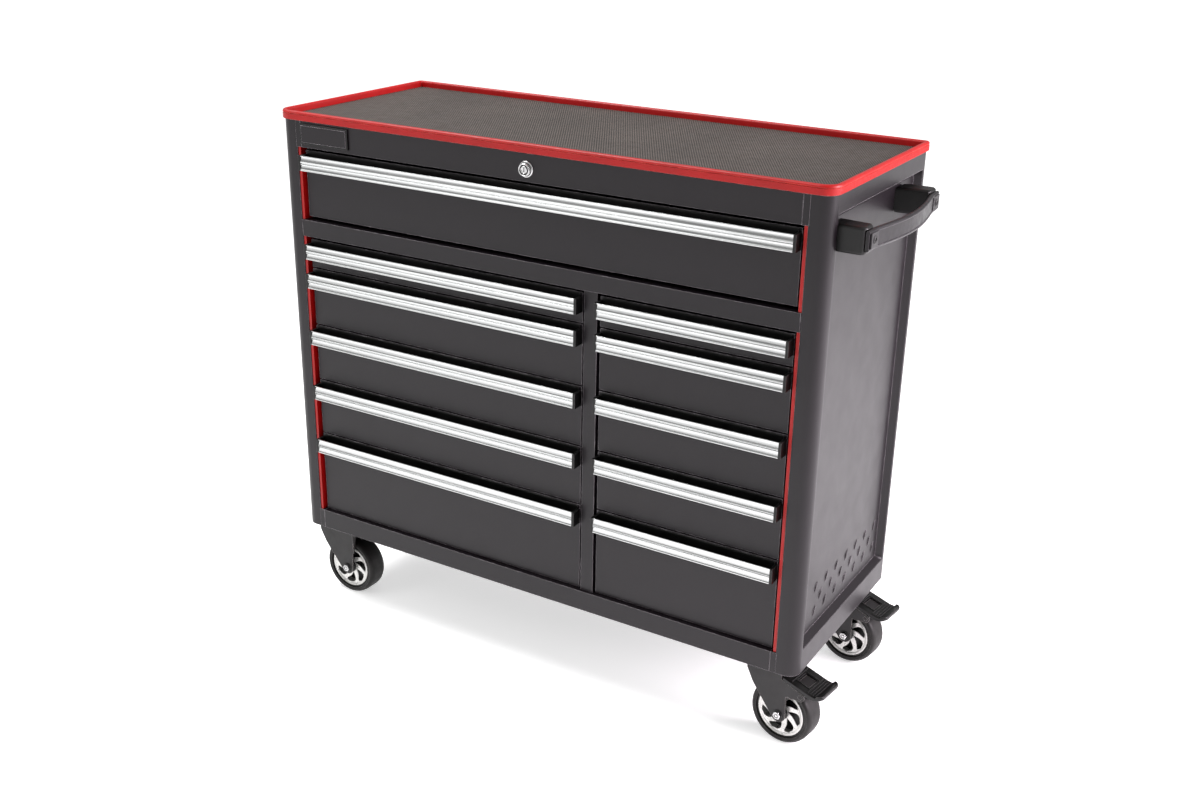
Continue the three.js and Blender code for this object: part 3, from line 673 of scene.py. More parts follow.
# ---- top
def edge_trim():
    """Push-on edge profile: a finely serrated outer leg under a smooth rounded bead."""
    low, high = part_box("edge_trim")
    out, rise = (LEFT - low.x) / MM, (high.z - low.z) / MM
    section = [(0.05, 0.0), (out - 0.7, 0.0), (out, 0.8), (out, 9.8), (out - 1.3, 10.4), (out - 1.3, 11.2)]
    for degrees in (0, 22, 44, 66):
        turn = math.radians(degrees)
        section.append((out - 4.25 * (1 - math.cos(turn)), rise - 4.2 * (1 - math.sin(turn))))
    section += [(-0.6, rise), (-2.6, rise - 0.6), (-4.0, rise - 2.2), (-4.4, rise - 4.0), (-4.4, 2.1),
                (-3.9, 1.6), (-1.9, 1.6), (-1.9, rise - 2.4), (0.05, rise - 2.4)]
    serrated = {2, 3}
    samples = plan_loop(0.0, 8, 2.3 * MM)
    bm = bmesh.new()
    rings = []
    for index, (offset, height) in enumerate(section):
        points = []
        for i, (point, normal) in enumerate(samples):
            bite = 0.8 * (i % 2) if index in serrated else 0.0
            reached = point + normal * (offset - bite) * MM
            points.append(Vector((reached.x, reached.y, low.z + height * MM)))
        rings.append(ring(bm, points))
    bridge(bm, rings, wrap=True)
    trim = add_piece("edge_trim_profile", bm, RED, "cabinet", 50.0)
    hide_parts("edge_trim")


def ribbed_mat():
    """The mat inside the upstand, with a chamfered rim."""
    low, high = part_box("top_mat")
    inset = low.x - LEFT
    bm = bmesh.new()
    steps = [(-inset - 0.4 * MM, low.z), (-inset, low.z + 0.4 * MM), (-inset, high.z - 0.8 * MM),
             (-inset - 0.8 * MM, high.z)]
    rings = []
    for grow, z in steps:
        rings.append(ring(bm, [Vector((p.x, p.y, z)) for p, _ in plan_loop(grow)]))
    loft(bm, rings)
    mat = add_piece("ribbed_top_mat", bm, "top_mat", "cabinet")
    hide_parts("top_mat")


# ---- front rails
def bent_channel(low_z, high_z, foot):
    """Section of a folded channel rail as (y, z); its lower flange runs back to foot."""
    bend, inner = 0.5 * MM, 3 * MM
    outside = arc(bend, low_z + bend, bend, 270, 180, 2)
    outside += arc(bend, high_z - bend, bend, 180, 90, 2)
    inside = arc(SHEET + inner, high_z - SHEET - inner, inner, 90, 180, 3)
    inside += arc(SHEET + inner, low_z + SHEET + inner, inner, 180, 270, 3)
    lip_high = [(STILE_DEPTH, high_z), (STILE_DEPTH, high_z - SHEET)]
    lip_low = [(foot, low_z + SHEET), (foot, low_z)]
    return [(FRONT + back, up) for back, up in outside + lip_high + inside + lip_low]


def front_rails():
    """Fascia, middle rail and bottom rail: folded sheet with rolled edges."""
    for node in ("top_rail", "middle_rail", "base_pan"):
        low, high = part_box(node)
        start, stop, foot = low.x, high.x, STILE_DEPTH
        if node == "base_pan":
            start, stop, foot = LEFT + EAR + GAP, RIGHT - EAR - GAP, high.y - FRONT
        bm = bmesh.new()
        section = bent_channel(low.z, high.z, foot)
        prism(bm, section, start, stop, along_x)
        if node == "base_pan":
            lap = 1 * MM
            for near, far in ((low.x, start + lap), (stop - lap, high.x)):
                block(bm, (near, FRONT + STILE_DEPTH + GAP, low.z), (far, high.y, low.z + SHEET))
        rail = add_piece(f"{node}_sheet", bm, "powder_coat", "cabinet", 30.0)
        if node == "top_rail":
            bore = bmesh.new()
            lathe(bore, [(0.0, -4.0), (10.2, -4.0), (10.2, 4.0), (0.0, 4.0)], lock_centre(), OUTWARD, 32)
            carve(rail, bore)
            finish_piece(rail, "powder_coat", 30.0)
        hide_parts(node)


# ---- front fittings
def lock_centre():
    x, _, z = joint_named("lock_turn")["pos_m"]
    return Vector((x, FRONT, z))


def badge_plate():
    """A blank name plate at the left of the fascia: a black frame round a coated face."""
    low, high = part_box("top_rail")
    x0, x1 = LEFT + 48 * MM, LEFT + 158 * MM
    z0, z1 = low.z + 7 * MM, high.z - 4 * MM
    bm = bmesh.new()
    block(bm, (x0, FRONT - 3.4 * MM, z0), (x1, FRONT - 0.05 * MM, z1), 0.7 * MM, 3)
    add_piece("badge_plate", bm, "black_plastic", "cabinet")
    margin = 3.2 * MM
    left, right, foot, top = x0 + margin, x1 - margin, z0 + margin, z1 - margin
    outline = round_corners([(left, foot), (right, foot), (right, top), (left, top)], 2 * MM)
    drawn("badge_face", outline, FRONT - 4.2 * MM, FRONT - 3.2 * MM, along_y, "powder_coat", "cabinet",
          0.3 * MM)


def lock_fittings():
    """The bezel round the lock barrel, and the rings of its face."""
    centre = lock_centre()
    bezel = [(11.4, -0.1), (13.6, -0.1), (14.0, 0.5), (13.6, 1.3), (12.6, 1.9), (11.9, 1.9), (11.4, 1.2)]
    turned("lock_bezel", bezel, centre, OUTWARD, "chrome", "cabinet", 40)
    back, front, chamfer = 5.8, 6.9, 0.4
    rings = bmesh.new()
    for inner, outer in ((8.6, 10.4), (4.6, 6.2)):
        rim = [(inner, back), (outer, back), (outer, front - chamfer), (outer - chamfer, front),
               (inner + chamfer, front), (inner, front - chamfer)]
        lathe(rings, rim, centre, OUTWARD, 32, closed=True)
    add_piece("lock_face_ring", rings, "chrome", "lock")
    dust = [(6.2, 5.8), (8.6, 5.8), (8.6, 6.2), (6.2, 6.2)]
    turned("lock_dust_ring", dust, centre, OUTWARD, "black_plastic", "lock", 32)


def pull_section():
    """The bright face strip: (out from the drawer front, up from the strip's foot) in mm.

    Two long facets that lean back as they rise, with a narrow groove below the middle."""
    lip = [(18.9, 24.6), (18.9, 27.3), (19.4, 27.9), (20.0, 28.0)]
    upper_rim = [(20.7, 27.7), (21.0, 27.0), (20.9, 26.2)]
    upper_facet = [(20.3, 25.2), (20.0, 24.2), (20.1, 22.4), (20.5, 19.6), (21.0, 17.2), (21.4, 16.2)]
    groove = [(21.9, 15.4), (21.9, 14.8), (21.5, 14.3), (20.1, 14.1), (19.9, 13.6), (20.1, 13.1),
              (20.9, 12.9)]
    lower_rim = [(21.3, 12.5), (21.4, 11.9), (21.2, 11.3)]
    lower_facet = [(20.5, 10.4), (20.3, 9.4), (20.6, 6.8), (21.1, 4.0), (21.6, 2.8)]
    foot = [(22.0, 1.9), (21.9, 1.0), (21.4, 0.4), (20.6, 0.1)]
    rear = [(14.0, 0.1), (14.0, 1.0), (18.7, 1.2), (19.0, 2.0), (19.0, 24.4)]
    return lip + upper_rim + upper_facet + groove + lower_rim + lower_facet + foot + rear


def drawer_pull(label):
    low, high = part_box(f"drawer_pull_{label}")
    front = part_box(f"drawer_box_{label}")[0].y
    foot = high.z - 33 * MM
    cap = 5 * MM

    def place(u, v, w):
        return Vector((w, front - u * MM, foot + v * MM))

    body, start, stop = f"drawer_{label}", low.x + cap, high.x - cap
    strip = drawn(f"pull_face_{label}", pull_section(), start, stop, place, "satin_aluminium", body,
                  angle=40.0)
    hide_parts(f"drawer_pull_{label}")

    tray = [(0.3, 33.0), (0.3, 0.9), (1.0, 0.1), (13.8, 0.1), (13.8, 1.2), (18.4, 1.4), (18.9, 2.2),
            (18.9, 24.3), (17.9, 24.3), (17.9, 3.8), (16.9, 2.9), (3.2, 2.9), (1.9, 4.0), (1.9, 33.0)]
    drawn(f"pull_channel_{label}", tray, start, stop, place, "black_plastic", body)

    caps = bmesh.new()
    end = round_corners([(0.3, 0.0), (22.0, 0.0), (22.0, 28.0), (0.3, 28.0)], 1.6)
    for near, far in ((low.x, start), (stop, high.x)):
        prism(caps, end, near, far, place, 0.6 * MM)
    add_piece(f"pull_caps_{label}", caps, "black_plastic", body)


def drawer_liner(label, low, high):
    """Ribbed rubber liner on the drawer's floor."""
    front, rear = low.y + 2.8 * MM, high.y - 1.6 * MM
    base = low.z + 5.4 * MM
    web, crest, pitch = 1.1 * MM, 1.8 * MM, 6 * MM
    count = int((rear - front) / pitch)
    width = (rear - front) / count
    outline = []
    for i in range(count):
        for share, height in ((0.0, web), (0.45, web), (0.55, crest), (0.9, crest)):
            outline.append((front + width * (i + share), base + height))
    outline += [(rear, base + web), (rear, base), (front, base)]
    side = 11.5 * MM
    drawn(f"liner_{label}", outline, low.x + side, high.x - side, along_x, "tyre_rubber", f"drawer_{label}",
          angle=20.0)


def drawer_hem(label, low, high):
    """Rolled rim along the sides and the back of the drawer box."""
    wall, bead, lap = 10 * MM, 1.9 * MM, 0.4 * MM
    front, rear = low.y + 4.8 * MM, high.y - 1.6 * MM
    foot, top = high.z - 15 * MM, high.z - 8.4 * MM
    hem = bmesh.new()
    for x0, x1, y0, y1 in (
        (low.x + wall - lap, low.x + wall + bead, front, rear),
        (high.x - wall - bead, high.x - wall + lap, front, rear),
        (low.x + wall, high.x - wall, rear - lap, rear + bead),
    ):
        block(hem, (x0, y0, foot), (x1, y1, top), 0.6 * MM)
    add_piece(f"rim_hem_{label}", hem, "powder_coat", f"drawer_{label}")


def drawer_inside(label):
    """Liner, hemmed rim and sliding members of one drawer."""
    low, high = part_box(f"drawer_box_{label}")
    drawer_liner(label, low, high)
    drawer_hem(label, low, high)
    slide = slide_height(label)
    front, rear = FRONT + 34 * MM, FRONT + 376 * MM
    for side, x, inward in (("l", low.x + 6 * MM, -1), ("r", high.x - 6 * MM, 1)):
        middle = bmesh.new()
        rail_member(middle, x + inward * 0.5 * MM, inward, slide, front, rear, 0.78, 0.9)
        obj = add_piece(f"slide_middle_{label}_{side}", middle, "chrome", None)
        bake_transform(obj)


# ---- side handle
def handle():
    """Two brackets with rolled edges, seated round the ends of the grip."""
    grip_low, grip_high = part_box("handle_grip")
    overlap = 20 * MM
    for end in ("front", "rear"):
        node = f"handle_bracket_{end}"
        low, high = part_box(node)
        outer, nose = high.x, 9 * MM
        near = low.y if end == "front" else high.y
        away = 1 if end == "front" else -1
        wide = high.y - low.y
        shape = [(low.x, 6.9 * MM), (RIGHT, 0.2 * MM)]
        shape += arc(outer - nose, nose, nose, 270, 360, 6)
        shape += [(outer, wide - 13 * MM), (outer - 4 * MM, wide - 6 * MM), (low.x, wide)]
        points = [(x, near + away * y) for x, y in shape]
        bm = bmesh.new()
        pillow(bm, points, low.z, high.z, 5 * MM, lambda u, v, w: Vector((u, v, w)))
        obj = add_piece(f"handle_block_{end}", bm, "black_plastic", "cabinet", 40.0)
        seat = bmesh.new()
        block(seat, (outer - 3 * MM, grip_low.y - overlap, grip_low.z - GAP),
              (outer + 10 * MM, grip_high.y + overlap, grip_high.z + GAP))
        carve(obj, seat)
        finish_piece(obj, "black_plastic", 40.0)
        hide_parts(node)
    handle_grip(grip_low, grip_high)


def grip_section(thick, tall):
    """Section of the grip, (out, up) from its middle: rounded, with a shallow band down the outer face."""
    radius, border, sink, slope = 3.2 * MM, 4.4 * MM, 1.1 * MM, 1 * MM
    face, edge = thick / 2, tall / 2 - border
    section = []
    for x, z, start in ((1, -1, 270), (1, 1, 0), (-1, 1, 90), (-1, -1, 180)):
        section += arc(x * (thick / 2 - radius), z * (tall / 2 - radius), radius, start, start + 90, 4)
        if (x, z) == (1, -1):
            floor = face - sink
            section += [(face, -edge), (floor, slope - edge), (floor, edge - slope), (face, edge)]
    return section


def handle_grip(low, high):
    """A flat bar with rounded edges, arched outwards, screwed on at both ends."""
    thick, flat = 8 * MM, 22 * MM
    bulge = high.x - low.x - thick
    length = high.y - low.y
    section = grip_section(thick, high.z - low.z)
    stations = 48
    bm = bmesh.new()
    rings = []
    middle_z = (low.z + high.z) / 2
    for i in range(stations + 1):
        y = low.y + length * i / stations
        t = min(max((y - low.y - flat) / (length - 2 * flat), 0), 1)
        centre = low.x + thick / 2 + bulge * math.sin(math.pi * t) ** 1.15
        nip = min(i, stations - i)
        thin = 1.0 if nip > 1 else (0.93 if nip == 1 else 0.8)
        short = 0.98 if nip == 0 else 1.0
        rings.append(ring(bm, [Vector((centre + u * thin, y, middle_z + v * short)) for u, v in section]))
    loft(bm, rings)
    grip = add_piece("handle_bar", bm, "grip_coat", "cabinet", 45.0)
    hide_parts("handle_grip")

    face = low.x + thick
    inset, half_long, half_tall = 17 * MM, 14 * MM, 12 * MM
    cup = [(0.0, 1.4), (3.6, 1.4), (3.8, 2.6), (5.8, 2.6), (6.4, 2.1), (6.4, 1.2), (0.0, 1.2)]
    for end, y in (("front", low.y + inset), ("rear", high.y - inset)):
        plate = bmesh.new()
        block(plate, (face - 2 * MM, y - half_long, middle_z - half_tall),
              (face + 1.5 * MM, y + half_long, middle_z + half_tall), 0.9 * MM, 3)
        add_piece(f"grip_end_{end}", plate, "grip_coat", "cabinet")
        screw = Vector((face, y, middle_z))
        turned(f"grip_screw_{end}", cup, screw, (1, 0, 0), "black_plastic", "cabinet", 24, closed=False)


# ---- casters
SWIRL = {"holes": 7, "inner": 14.0, "outer": 39.0, "twist": 0.6, "width": 0.42}
PHASE = {"front_left": 18, "rear_left": 44, "front_right": 2, "rear_right": -22}


class CasterPlace:
    """Directions and points of one caster: trailing way, way across the wheel, and plate centre."""

    def __init__(self, label):
        axis = Vector(joint_named(f"wheel_spin_{label}")["axis"]).normalized()
        self.outward = -axis if axis.y > 0 else axis
        self.trailing = Vector((0, 0, 1)).cross(self.outward)
        low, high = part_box(f"caster_plate_{label}")
        self.pin = Vector(((low.x + high.x) / 2, (low.y + high.y) / 2, 0.0))
        low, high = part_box(f"wheel_tyre_{label}")
        self.hub = (low + high) / 2

    def at(self, along, across, up):
        """A point from the swivel pin, in metres: along the trail, across towards the rear, up."""
        return self.pin + self.trailing * along - self.outward * across + Vector((0, 0, up))


def swirl_hole(index, phase):
    """A teardrop opening that sweeps clockwise as it goes outwards, as (x, z) in mm from the hub."""
    start = 2 * math.pi * index / SWIRL["holes"] + math.radians(phase) + SWIRL["twist"] * 0.62
    steps = 14
    leading, trailing = [], []
    for i in range(steps + 1):
        t = i / steps
        radius = SWIRL["inner"] + (SWIRL["outer"] - SWIRL["inner"]) * t
        sweep = start - SWIRL["twist"] * t ** 0.85
        half = SWIRL["width"] * (t ** 0.75) * math.sqrt(max(0.0, 1 - t ** 5)) + 0.02
        leading.append((radius * math.cos(sweep + half), radius * math.sin(sweep + half)))
        trailing.append((radius * math.cos(sweep - half), radius * math.sin(sweep - half)))
    return leading + trailing[::-1]


def wheel(label):
    """Tyre, seal, rim barrel, hub and web of one wheel, turned about its axle, and its two faces.

    Each section is given for one side, as (radius, along) in mm, and mirrored for the other."""
    spot = CasterPlace(label)
    tyre = [(47.6, -14.0), (47.8, -18.8), (48.8, -20.2), (53.5, -21.2), (56.4, -19.6), (58.2, -16.2),
            (59.0, -11.0)]
    seal = [(44.2, -17.4), (48.0, -17.4)]
    barrel = [(40.6, -13.0), (39.9, -17.0), (40.4, -18.6), (42.6, -19.5), (44.2, -18.9), (44.5, -15.0)]
    hub = [(5.6, -23.0), (12.6, -23.0), (13.4, -22.0), (13.4, -18.0), (15.5, -16.5)]
    web = [(15.0, -2.0), (41.3, -2.0)]
    for name, half, slot, segments, angle in (
        ("tyre", tyre, "tyre_rubber", 96, 40.0),
        ("rim_seal", seal, "black_plastic", 96, 35.0),
        ("rim", barrel, "rim_silver", 96, 35.0),
        ("hub", hub, "black_plastic", 48, 35.0),
        ("rim_web", web, "black_plastic", 64, 35.0),
    ):
        profile = half + [(r, -h) for r, h in reversed(half)]
        piece = turned(f"{name}_{label}", profile, spot.hub, -spot.outward, slot, f"wheel_{label}", segments,
                       angle=angle)
        if name in ("tyre", "rim"):
            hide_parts(f"wheel_{name}_{label}")
    wheel_faces(label, spot)


def wheel_faces(label, spot):
    """The two dished faces of a rim, each cut by swirling holes."""
    axis = -spot.outward
    turn = Matrix((spot.trailing, axis, Vector((0, 0, 1)))).transposed()
    dish = [(13.2, 16.2), (13.2, 17.6), (18.0, 17.8), (26.0, 17.2), (34.0, 16.6), (39.0, 17.2), (40.8, 18.6),
            (40.8, 16.8), (39.0, 15.6), (34.0, 15.0), (26.0, 15.6), (18.0, 16.2)]
    for side, sign in (("outer", -1), ("inner", 1)):
        profile = [(r, sign * h) for r, h in dish]
        face = turned(f"rim_face_{side}_{label}", profile, spot.hub, axis, "rim_silver", None, 96)
        holes = bmesh.new()
        start, stop = sorted((sign * 12 * MM, sign * 21 * MM))
        for index in range(SWIRL["holes"]):
            shape = [(x * MM, z * MM) for x, z in swirl_hole(index, PHASE[label])]
            prism(holes, shape, start, stop, lambda u, v, w: spot.hub + turn @ Vector((u, w, v)))
        carve(face, holes)
        finish_piece(face, "rim_silver", 40.0)
        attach(face, f"wheel_{label}")


def axle_bolt(label):
    """Bolt through the fork: a washer and a hexagon at each side, with a domed bolt end."""
    spot = CasterPlace(label)
    body = f"swivel_{label}"
    reach = axle_length(label, spot) / 2 - 6
    shank = [(0.0, -reach), (5.0, -reach), (5.0, reach), (0.0, reach)]
    bolt = turned(f"axle_shank_{label}", shank, spot.hub, spot.outward, "chrome", body, 24, closed=False)
    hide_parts(f"wheel_axle_{label}")
    washer = [(0.0, 0.1), (9.0, 0.1), (9.4, 0.5), (9.0, 1.3), (0.0, 1.3)]
    hexagon = [(0.0, 1.2), (7.6, 1.2), (7.6, 4.4), (6.6, 5.4), (4.8, 5.4), (4.4, 3.2), (0.0, 3.2)]
    dome = [(0.0, 3.0), (2.9, 3.0), (2.9, 5.2), (2.2, 5.9), (0.0, 6.0)]
    for side, way in (("outer", spot.outward), ("inner", -spot.outward)):
        seat = spot.hub + way * reach * MM
        turned(f"axle_washer_{side}_{label}", washer, seat, way, "black_plastic", body, 32, closed=False,
               angle=25.0)
        nut = bmesh.new()
        lathe(nut, hexagon, seat, way, 6)
        lathe(nut, dome, seat, way, 20)
        add_piece(f"axle_nut_{side}_{label}", nut, "chrome", body, 25.0)


def axle_length(label, spot):
    """Length in mm of the rod across the wheel, from the box round it."""
    low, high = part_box(f"wheel_axle_{label}")
    radius = 9.5
    return ((high.y - low.y) / MM - 2 * radius * abs(spot.outward.x)) / abs(spot.outward.y)


def fork_gusset(label):
    """Tapered folded web on the trailing side of a fork without a brake."""
    spot = CasterPlace(label)
    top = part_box(f"caster_fork_{label}")[1].z - 0.5 * MM
    outer, tip = 30.4 * MM, 26.4 * MM
    shape = [(outer, top), (19 * MM, top), (20 * MM, top - 12 * MM), (tip - 1 * MM, 112 * MM),
             (tip, 98 * MM), (outer - 1.6 * MM, 96 * MM)]
    for name, side in (("outer", -1), ("inner", 1)):
        drawn(f"fork_flange_{name}_{label}", [(side * u, v) for u, v in shape], 41.2 * MM, 44.2 * MM,
              lambda u, v, w: spot.at(w, u, v), "fork_steel", f"swivel_{label}", 0.9 * MM)


PEDAL_TOP = [(31, 137.5), (44, 134.2), (58, 130.4), (72, 126.4), (84, 123.2), (93, 122.4), (99, 123.8),
             (103, 127.2), (105.6, 127.6), (107, 125.4)]
PEDAL_FOOT = [(106.2, 121.0), (101, 117.6), (92, 115.6), (83, 115.2), (74, 118.4), (58, 123.4), (44, 127.6),
              (31, 131.5)]
PEDAL_HALF, PEDAL_ROUND, PEDAL_STRAIGHT = 31.0, 9.0, 90
WINDOW = {"front": 50.0, "rear": 73.0, "half": 14.5}


def pedal_height(along):
    """Height of the tread's upper face at a distance along the trail, in mm."""
    for (x0, z0), (x1, z1) in zip(PEDAL_TOP, PEDAL_TOP[1:]):
        if x0 <= along <= x1:
            return z0 + (z1 - z0) * (along - x0) / (x1 - x0)
    return PEDAL_TOP[-1][1]


def brake_pedal(label):
    """Moulded pedal: a tread with a framed window, cross ribs and a turned-up rounded tip."""
    spot = CasterPlace(label)

    def at(along, across, up):
        return spot.at(along * MM, across * MM, up * MM)

    pedal_tread(label, at)
    pedal_panel(label, at)
    pedal_ribs(label, at)
    pedal_hinge(label, at, spot)


def pedal_tread(label, at):
    """The tread plate, thinned along its long edges, rounded at its tip and cut by the window."""
    tip = PEDAL_TOP[-1][0]
    bm = bmesh.new()
    rings = []
    rolled = 1.2
    half_stations = (8, 22, 25, 27.6, 29.4, 30.6, PEDAL_HALF)
    for across in [-station for station in reversed(half_stations)] + list(half_stations):
        past = max(abs(across) - (PEDAL_HALF - PEDAL_ROUND), 0.0)
        limit = tip - PEDAL_ROUND + math.sqrt(max(PEDAL_ROUND ** 2 - past ** 2, 0.0))
        over = max(0.0, (abs(across) - PEDAL_HALF + rolled) / rolled)
        thin = rolled / 2 * (1 - math.sqrt(max(0.0, 1 - over ** 2)))
        points = []
        for i, (along, up) in enumerate(PEDAL_TOP + PEDAL_FOOT):
            squeeze = -thin if i < len(PEDAL_TOP) else thin
            if along > PEDAL_STRAIGHT:
                share = (along - PEDAL_STRAIGHT) / (tip - PEDAL_STRAIGHT)
                along = PEDAL_STRAIGHT + (limit - PEDAL_STRAIGHT) * share
            points.append(at(along, across, up + squeeze))
        rings.append(ring(bm, points))
    loft(bm, rings)
    tread = add_piece(f"pedal_tread_{label}", bm, "black_plastic", f"brake_{label}", 35.0)
    hole = bmesh.new()
    front, rear, half = WINDOW["front"], WINDOW["rear"], WINDOW["half"]
    points = round_corners([(front, -half), (rear, -half), (rear, half), (front, half)], 2.5)
    prism(hole, points, 112, 142, at)
    carve(tread, hole)
    finish_piece(tread, "black_plastic", 35.0)
    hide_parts(f"brake_pedal_{label}")


def along_tread(margin, top, foot):
    """Side outline that follows the tread past the window by margin; top and foot are off its face."""
    low, high = WINDOW["front"] - margin, WINDOW["rear"] + margin
    return [(low, pedal_height(low) + top), (high, pedal_height(high) + top),
            (high, pedal_height(high) + foot), (low, pedal_height(low) + foot)]


def pedal_panel(label, at):
    """The steel plate seen in the window, on two bars."""
    panel = bmesh.new()
    inset, bar = 1.6, 1.5
    reach = WINDOW["half"] - inset
    prism(panel, along_tread(-inset, -2.2, -4.2), -reach, reach, lambda u, v, w: at(u, w, v), 0.4 * MM)
    for across in (-8, 8):
        prism(panel, along_tread(1.0, -4.4, -5.6), across - bar, across + bar, lambda u, v, w: at(u, w, v))
    add_piece(f"pedal_panel_{label}", panel, "fork_steel", f"brake_{label}")


def pedal_ribs(label, at):
    """Cross ribs on the tread, and the raised frame at each side of the window."""
    ribs = bmesh.new()
    for along, reach in ((46, 26), (77, 27), (82, 27), (87, 27), (92, 26.5)):
        top = pedal_height(along) + 1.8
        shape = [(along - 1.0, top - 2.2), (along + 1.0, top - 2.2), (along + 0.8, top - 0.2),
                 (along + 0.3, top), (along - 0.3, top), (along - 0.8, top - 0.2)]
        prism(ribs, shape, -reach, reach, lambda u, v, w: at(u, w, v))
    frame_half, frame_wide = WINDOW["half"] + 1.6, 0.8
    for across in (-frame_half, frame_half):
        prism(ribs, along_tread(2, 1.4, -0.8), across - frame_wide, across + frame_wide,
              lambda u, v, w: at(u, w, v))
    add_piece(f"pedal_ribs_{label}", ribs, "black_plastic", f"brake_{label}")


def pedal_hinge(label, at, spot):
    """The lugs under the tread and the pin through them."""
    hinge = Vector(joint_named(f"brake_press_{label}")["pos_m"])
    pivot = hinge.z / MM
    along = (hinge - spot.pin).dot(spot.trailing) / MM
    lugs = bmesh.new()
    shape = arc(along, pivot, 5.4, 180, 360, 8) + [(along + 7, pivot + 11.5), (along - 7, pivot + 15.5)]
    for start, stop in ((-24.6, -18.0), (18.0, 24.6)):
        prism(lugs, shape, start, stop, lambda u, v, w: at(u, w, v), 0.5 * MM)
    add_piece(f"pedal_lugs_{label}", lugs, "black_plastic", f"brake_{label}")
    pin = [(0.0, -28.6), (4.6, -28.4), (4.6, -27.8), (3.0, -27.6), (3.0, 27.6), (4.6, 27.8), (4.6, 28.4),
           (0.0, 28.6)]
    turned(f"pedal_pin_{label}", pin, hinge, spot.outward, "fork_steel", f"brake_{label}", 24, closed=False)


def caster_fittings(label):
    """Plate bolts and swivel race of one caster, all fixed to the body."""
    low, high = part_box(f"caster_plate_{label}")
    centre = (low + high) / 2
    bolts = bmesh.new()
    head = [(0.0, -4.2), (5.2, -4.2), (5.8, -3.6), (5.8, -0.3), (0.0, -0.3)]
    for sx in (-1, 1):
        for sy in (-1, 1):
            foot = Vector((centre.x + sx * 31 * MM, centre.y + sy * 25 * MM, high.z - 3 * MM))
            lathe(bolts, head, foot, (0, 0, 1), 6)
    add_piece(f"plate_bolts_{label}", bolts, "chrome", "cabinet")
    cup = [(27.2, -1.0), (29.0, -1.4), (30.4, -4.0), (29.6, -6.4), (27.2, -7.0)]
    middle = Vector((centre.x, centre.y, high.z - 1.6 * MM))
    turned(f"swivel_cup_{label}", cup, middle, (0, 0, 1), "chrome", "cabinet", 48)


# ---- kept frame parts
def finish_frame():
    """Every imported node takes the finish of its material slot."""
    slots = {part["node"]: part["material_slot"] for part in frame["record"]["subparts"]}
    for name, obj in frame["nodes"].items():
        obj.data.materials.clear()
        obj.data.materials.append(FINISH[slots[name]])
    kept = [f"drawer_box_{label}" for label in DRAWERS]
    kept += ["centre_divider", "top_deck", "back_panel"]
    kept += ["accent_strip_left", "accent_strip_right", "lock_barrel"]
    kept += [f"{part}_{label}" for label in CASTERS for part in ("caster_fork", "caster_plate")]
    for name in kept:
        soften(name, 0.4 * MM)


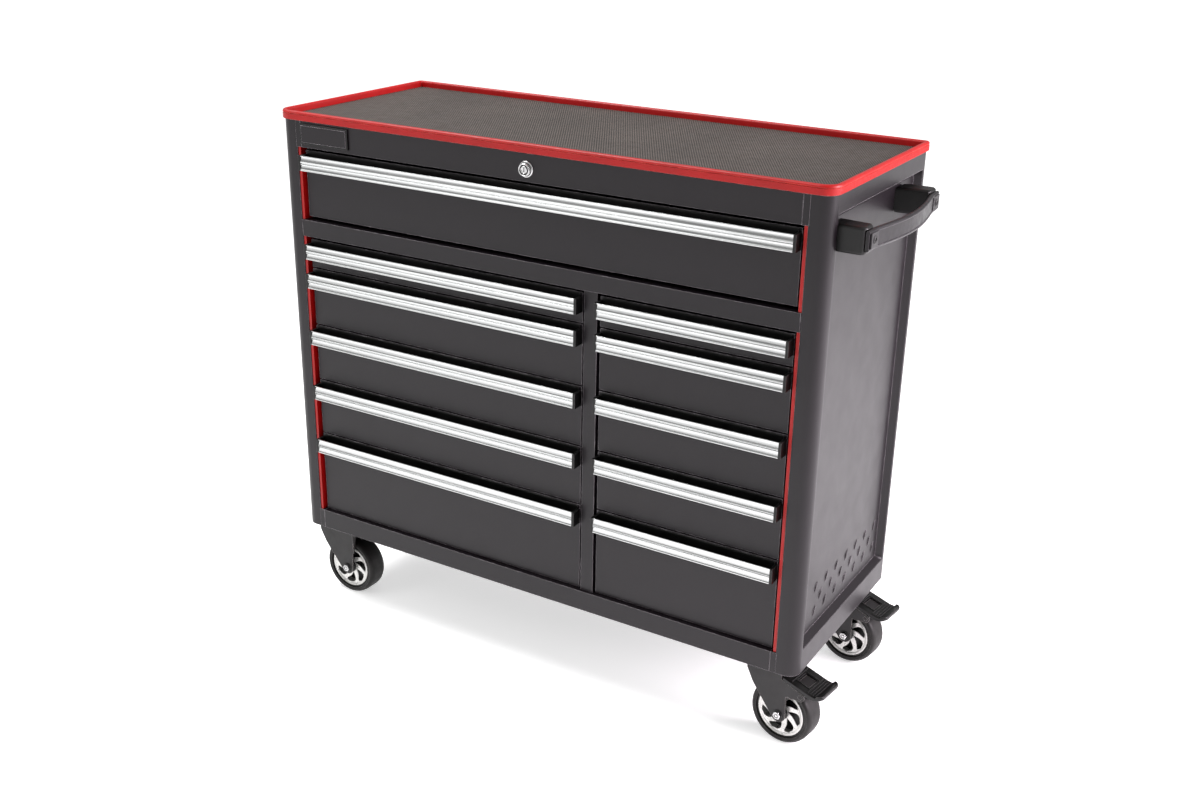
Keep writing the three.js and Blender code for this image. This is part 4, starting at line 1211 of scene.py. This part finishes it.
# ---- studio
def studio():
    mesh = bpy.data.meshes.new("studio_floor")
    reach = 30.0
    corners = [(-reach, -reach, 0), (reach, -reach, 0), (reach, reach, 0), (-reach, reach, 0)]
    mesh.from_pydata(corners, [], [(0, 1, 2, 3)])
    floor = bpy.data.objects.new("studio_floor", mesh)
    bpy.context.scene.collection.objects.link(floor)
    mesh.materials.append(floor_material())

    world = bpy.data.worlds.new("studio")
    bpy.context.scene.world = world
    world.use_nodes = True
    nodes, links = world.node_tree.nodes, world.node_tree.links
    background = nodes["Background"]
    background.inputs["Strength"].default_value = 0.72
    split = nodes.new("ShaderNodeSeparateXYZ")
    links.new(nodes.new("ShaderNodeTexCoord").outputs["Generated"], split.inputs[0])
    ramp = nodes.new("ShaderNodeValToRGB")
    links.new(split.outputs["Z"], ramp.inputs[0])
    links.new(ramp.outputs[0], background.inputs["Color"])
    stops = [(0.0, 0.5), (0.1, 0.42), (0.35, 0.9), (1.0, 1.0)]
    while len(ramp.color_ramp.elements) < len(stops):
        ramp.color_ramp.elements.new(0.5)
    for element, (position, level) in zip(ramp.color_ramp.elements, stops):
        element.position = position
        element.color = (level, level, level, 1.0)

    white = (1.0, 1.0, 1.0)
    for name, place, target, size, power, colour in (
        ("key_right", (3.3, 0.7, 1.9), (0.4, 0.0, 0.6), 2.4, 235.0, (1.0, 0.9, 0.98)),
        ("fill_left", (-2.4, -3.4, 2.6), (0.0, 0.0, 0.6), 2.4, 22.0, white),
        ("top_left", (-1.35, -0.5, 3.1), (0.0, -0.1, 0.8), 1.5, 80.0, white),
    ):
        light = bpy.data.lights.new(name, "AREA")
        light.shape = "DISK"
        light.size = size
        light.energy = power
        light.color = colour
        lamp = bpy.data.objects.new(name, light)
        lamp.location = place
        lamp.rotation_euler = (Vector(target) - Vector(place)).to_track_quat("-Z", "Y").to_euler()
        bpy.context.scene.collection.objects.link(lamp)


def camera():
    """Three-quarter view from the front right, a little above the top."""
    eye = Vector((1.2075, -2.0435, 1.4311))
    yaw, pitch, roll = -0.5343, 0.3796, 0.0186
    forward = Vector((math.sin(yaw) * math.cos(pitch), math.cos(yaw) * math.cos(pitch), -math.sin(pitch)))
    level = Vector((math.cos(yaw), -math.sin(yaw), 0.0))
    upright = level.cross(forward)
    right = level * math.cos(roll) + upright * math.sin(roll)
    up = upright * math.cos(roll) - level * math.sin(roll)
    data = bpy.data.cameras.new("camera")
    data.lens = 41.2
    data.sensor_width = 36.0
    view = bpy.data.objects.new("camera", data)
    turn = Matrix((right, up, -forward)).transposed().to_4x4()
    view.matrix_world = Matrix.Translation(eye) @ turn
    bpy.context.scene.collection.objects.link(view)
    bpy.context.scene.camera = view
    bpy.context.scene.view_settings.view_transform = "Standard"


finish_frame()
for panel_side in ("left", "right"):
    side_panel(panel_side)
edge_trim()
ribbed_mat()
front_rails()
badge_plate()
lock_fittings()
handle()
for drawer in DRAWERS:
    drawer_pull(drawer)
    drawer_inside(drawer)
for caster in CASTERS:
    wheel(caster)
    axle_bolt(caster)
    caster_fittings(caster)
    if caster in BRAKED:
        brake_pedal(caster)
    else:
        fork_gusset(caster)
studio()
camera()
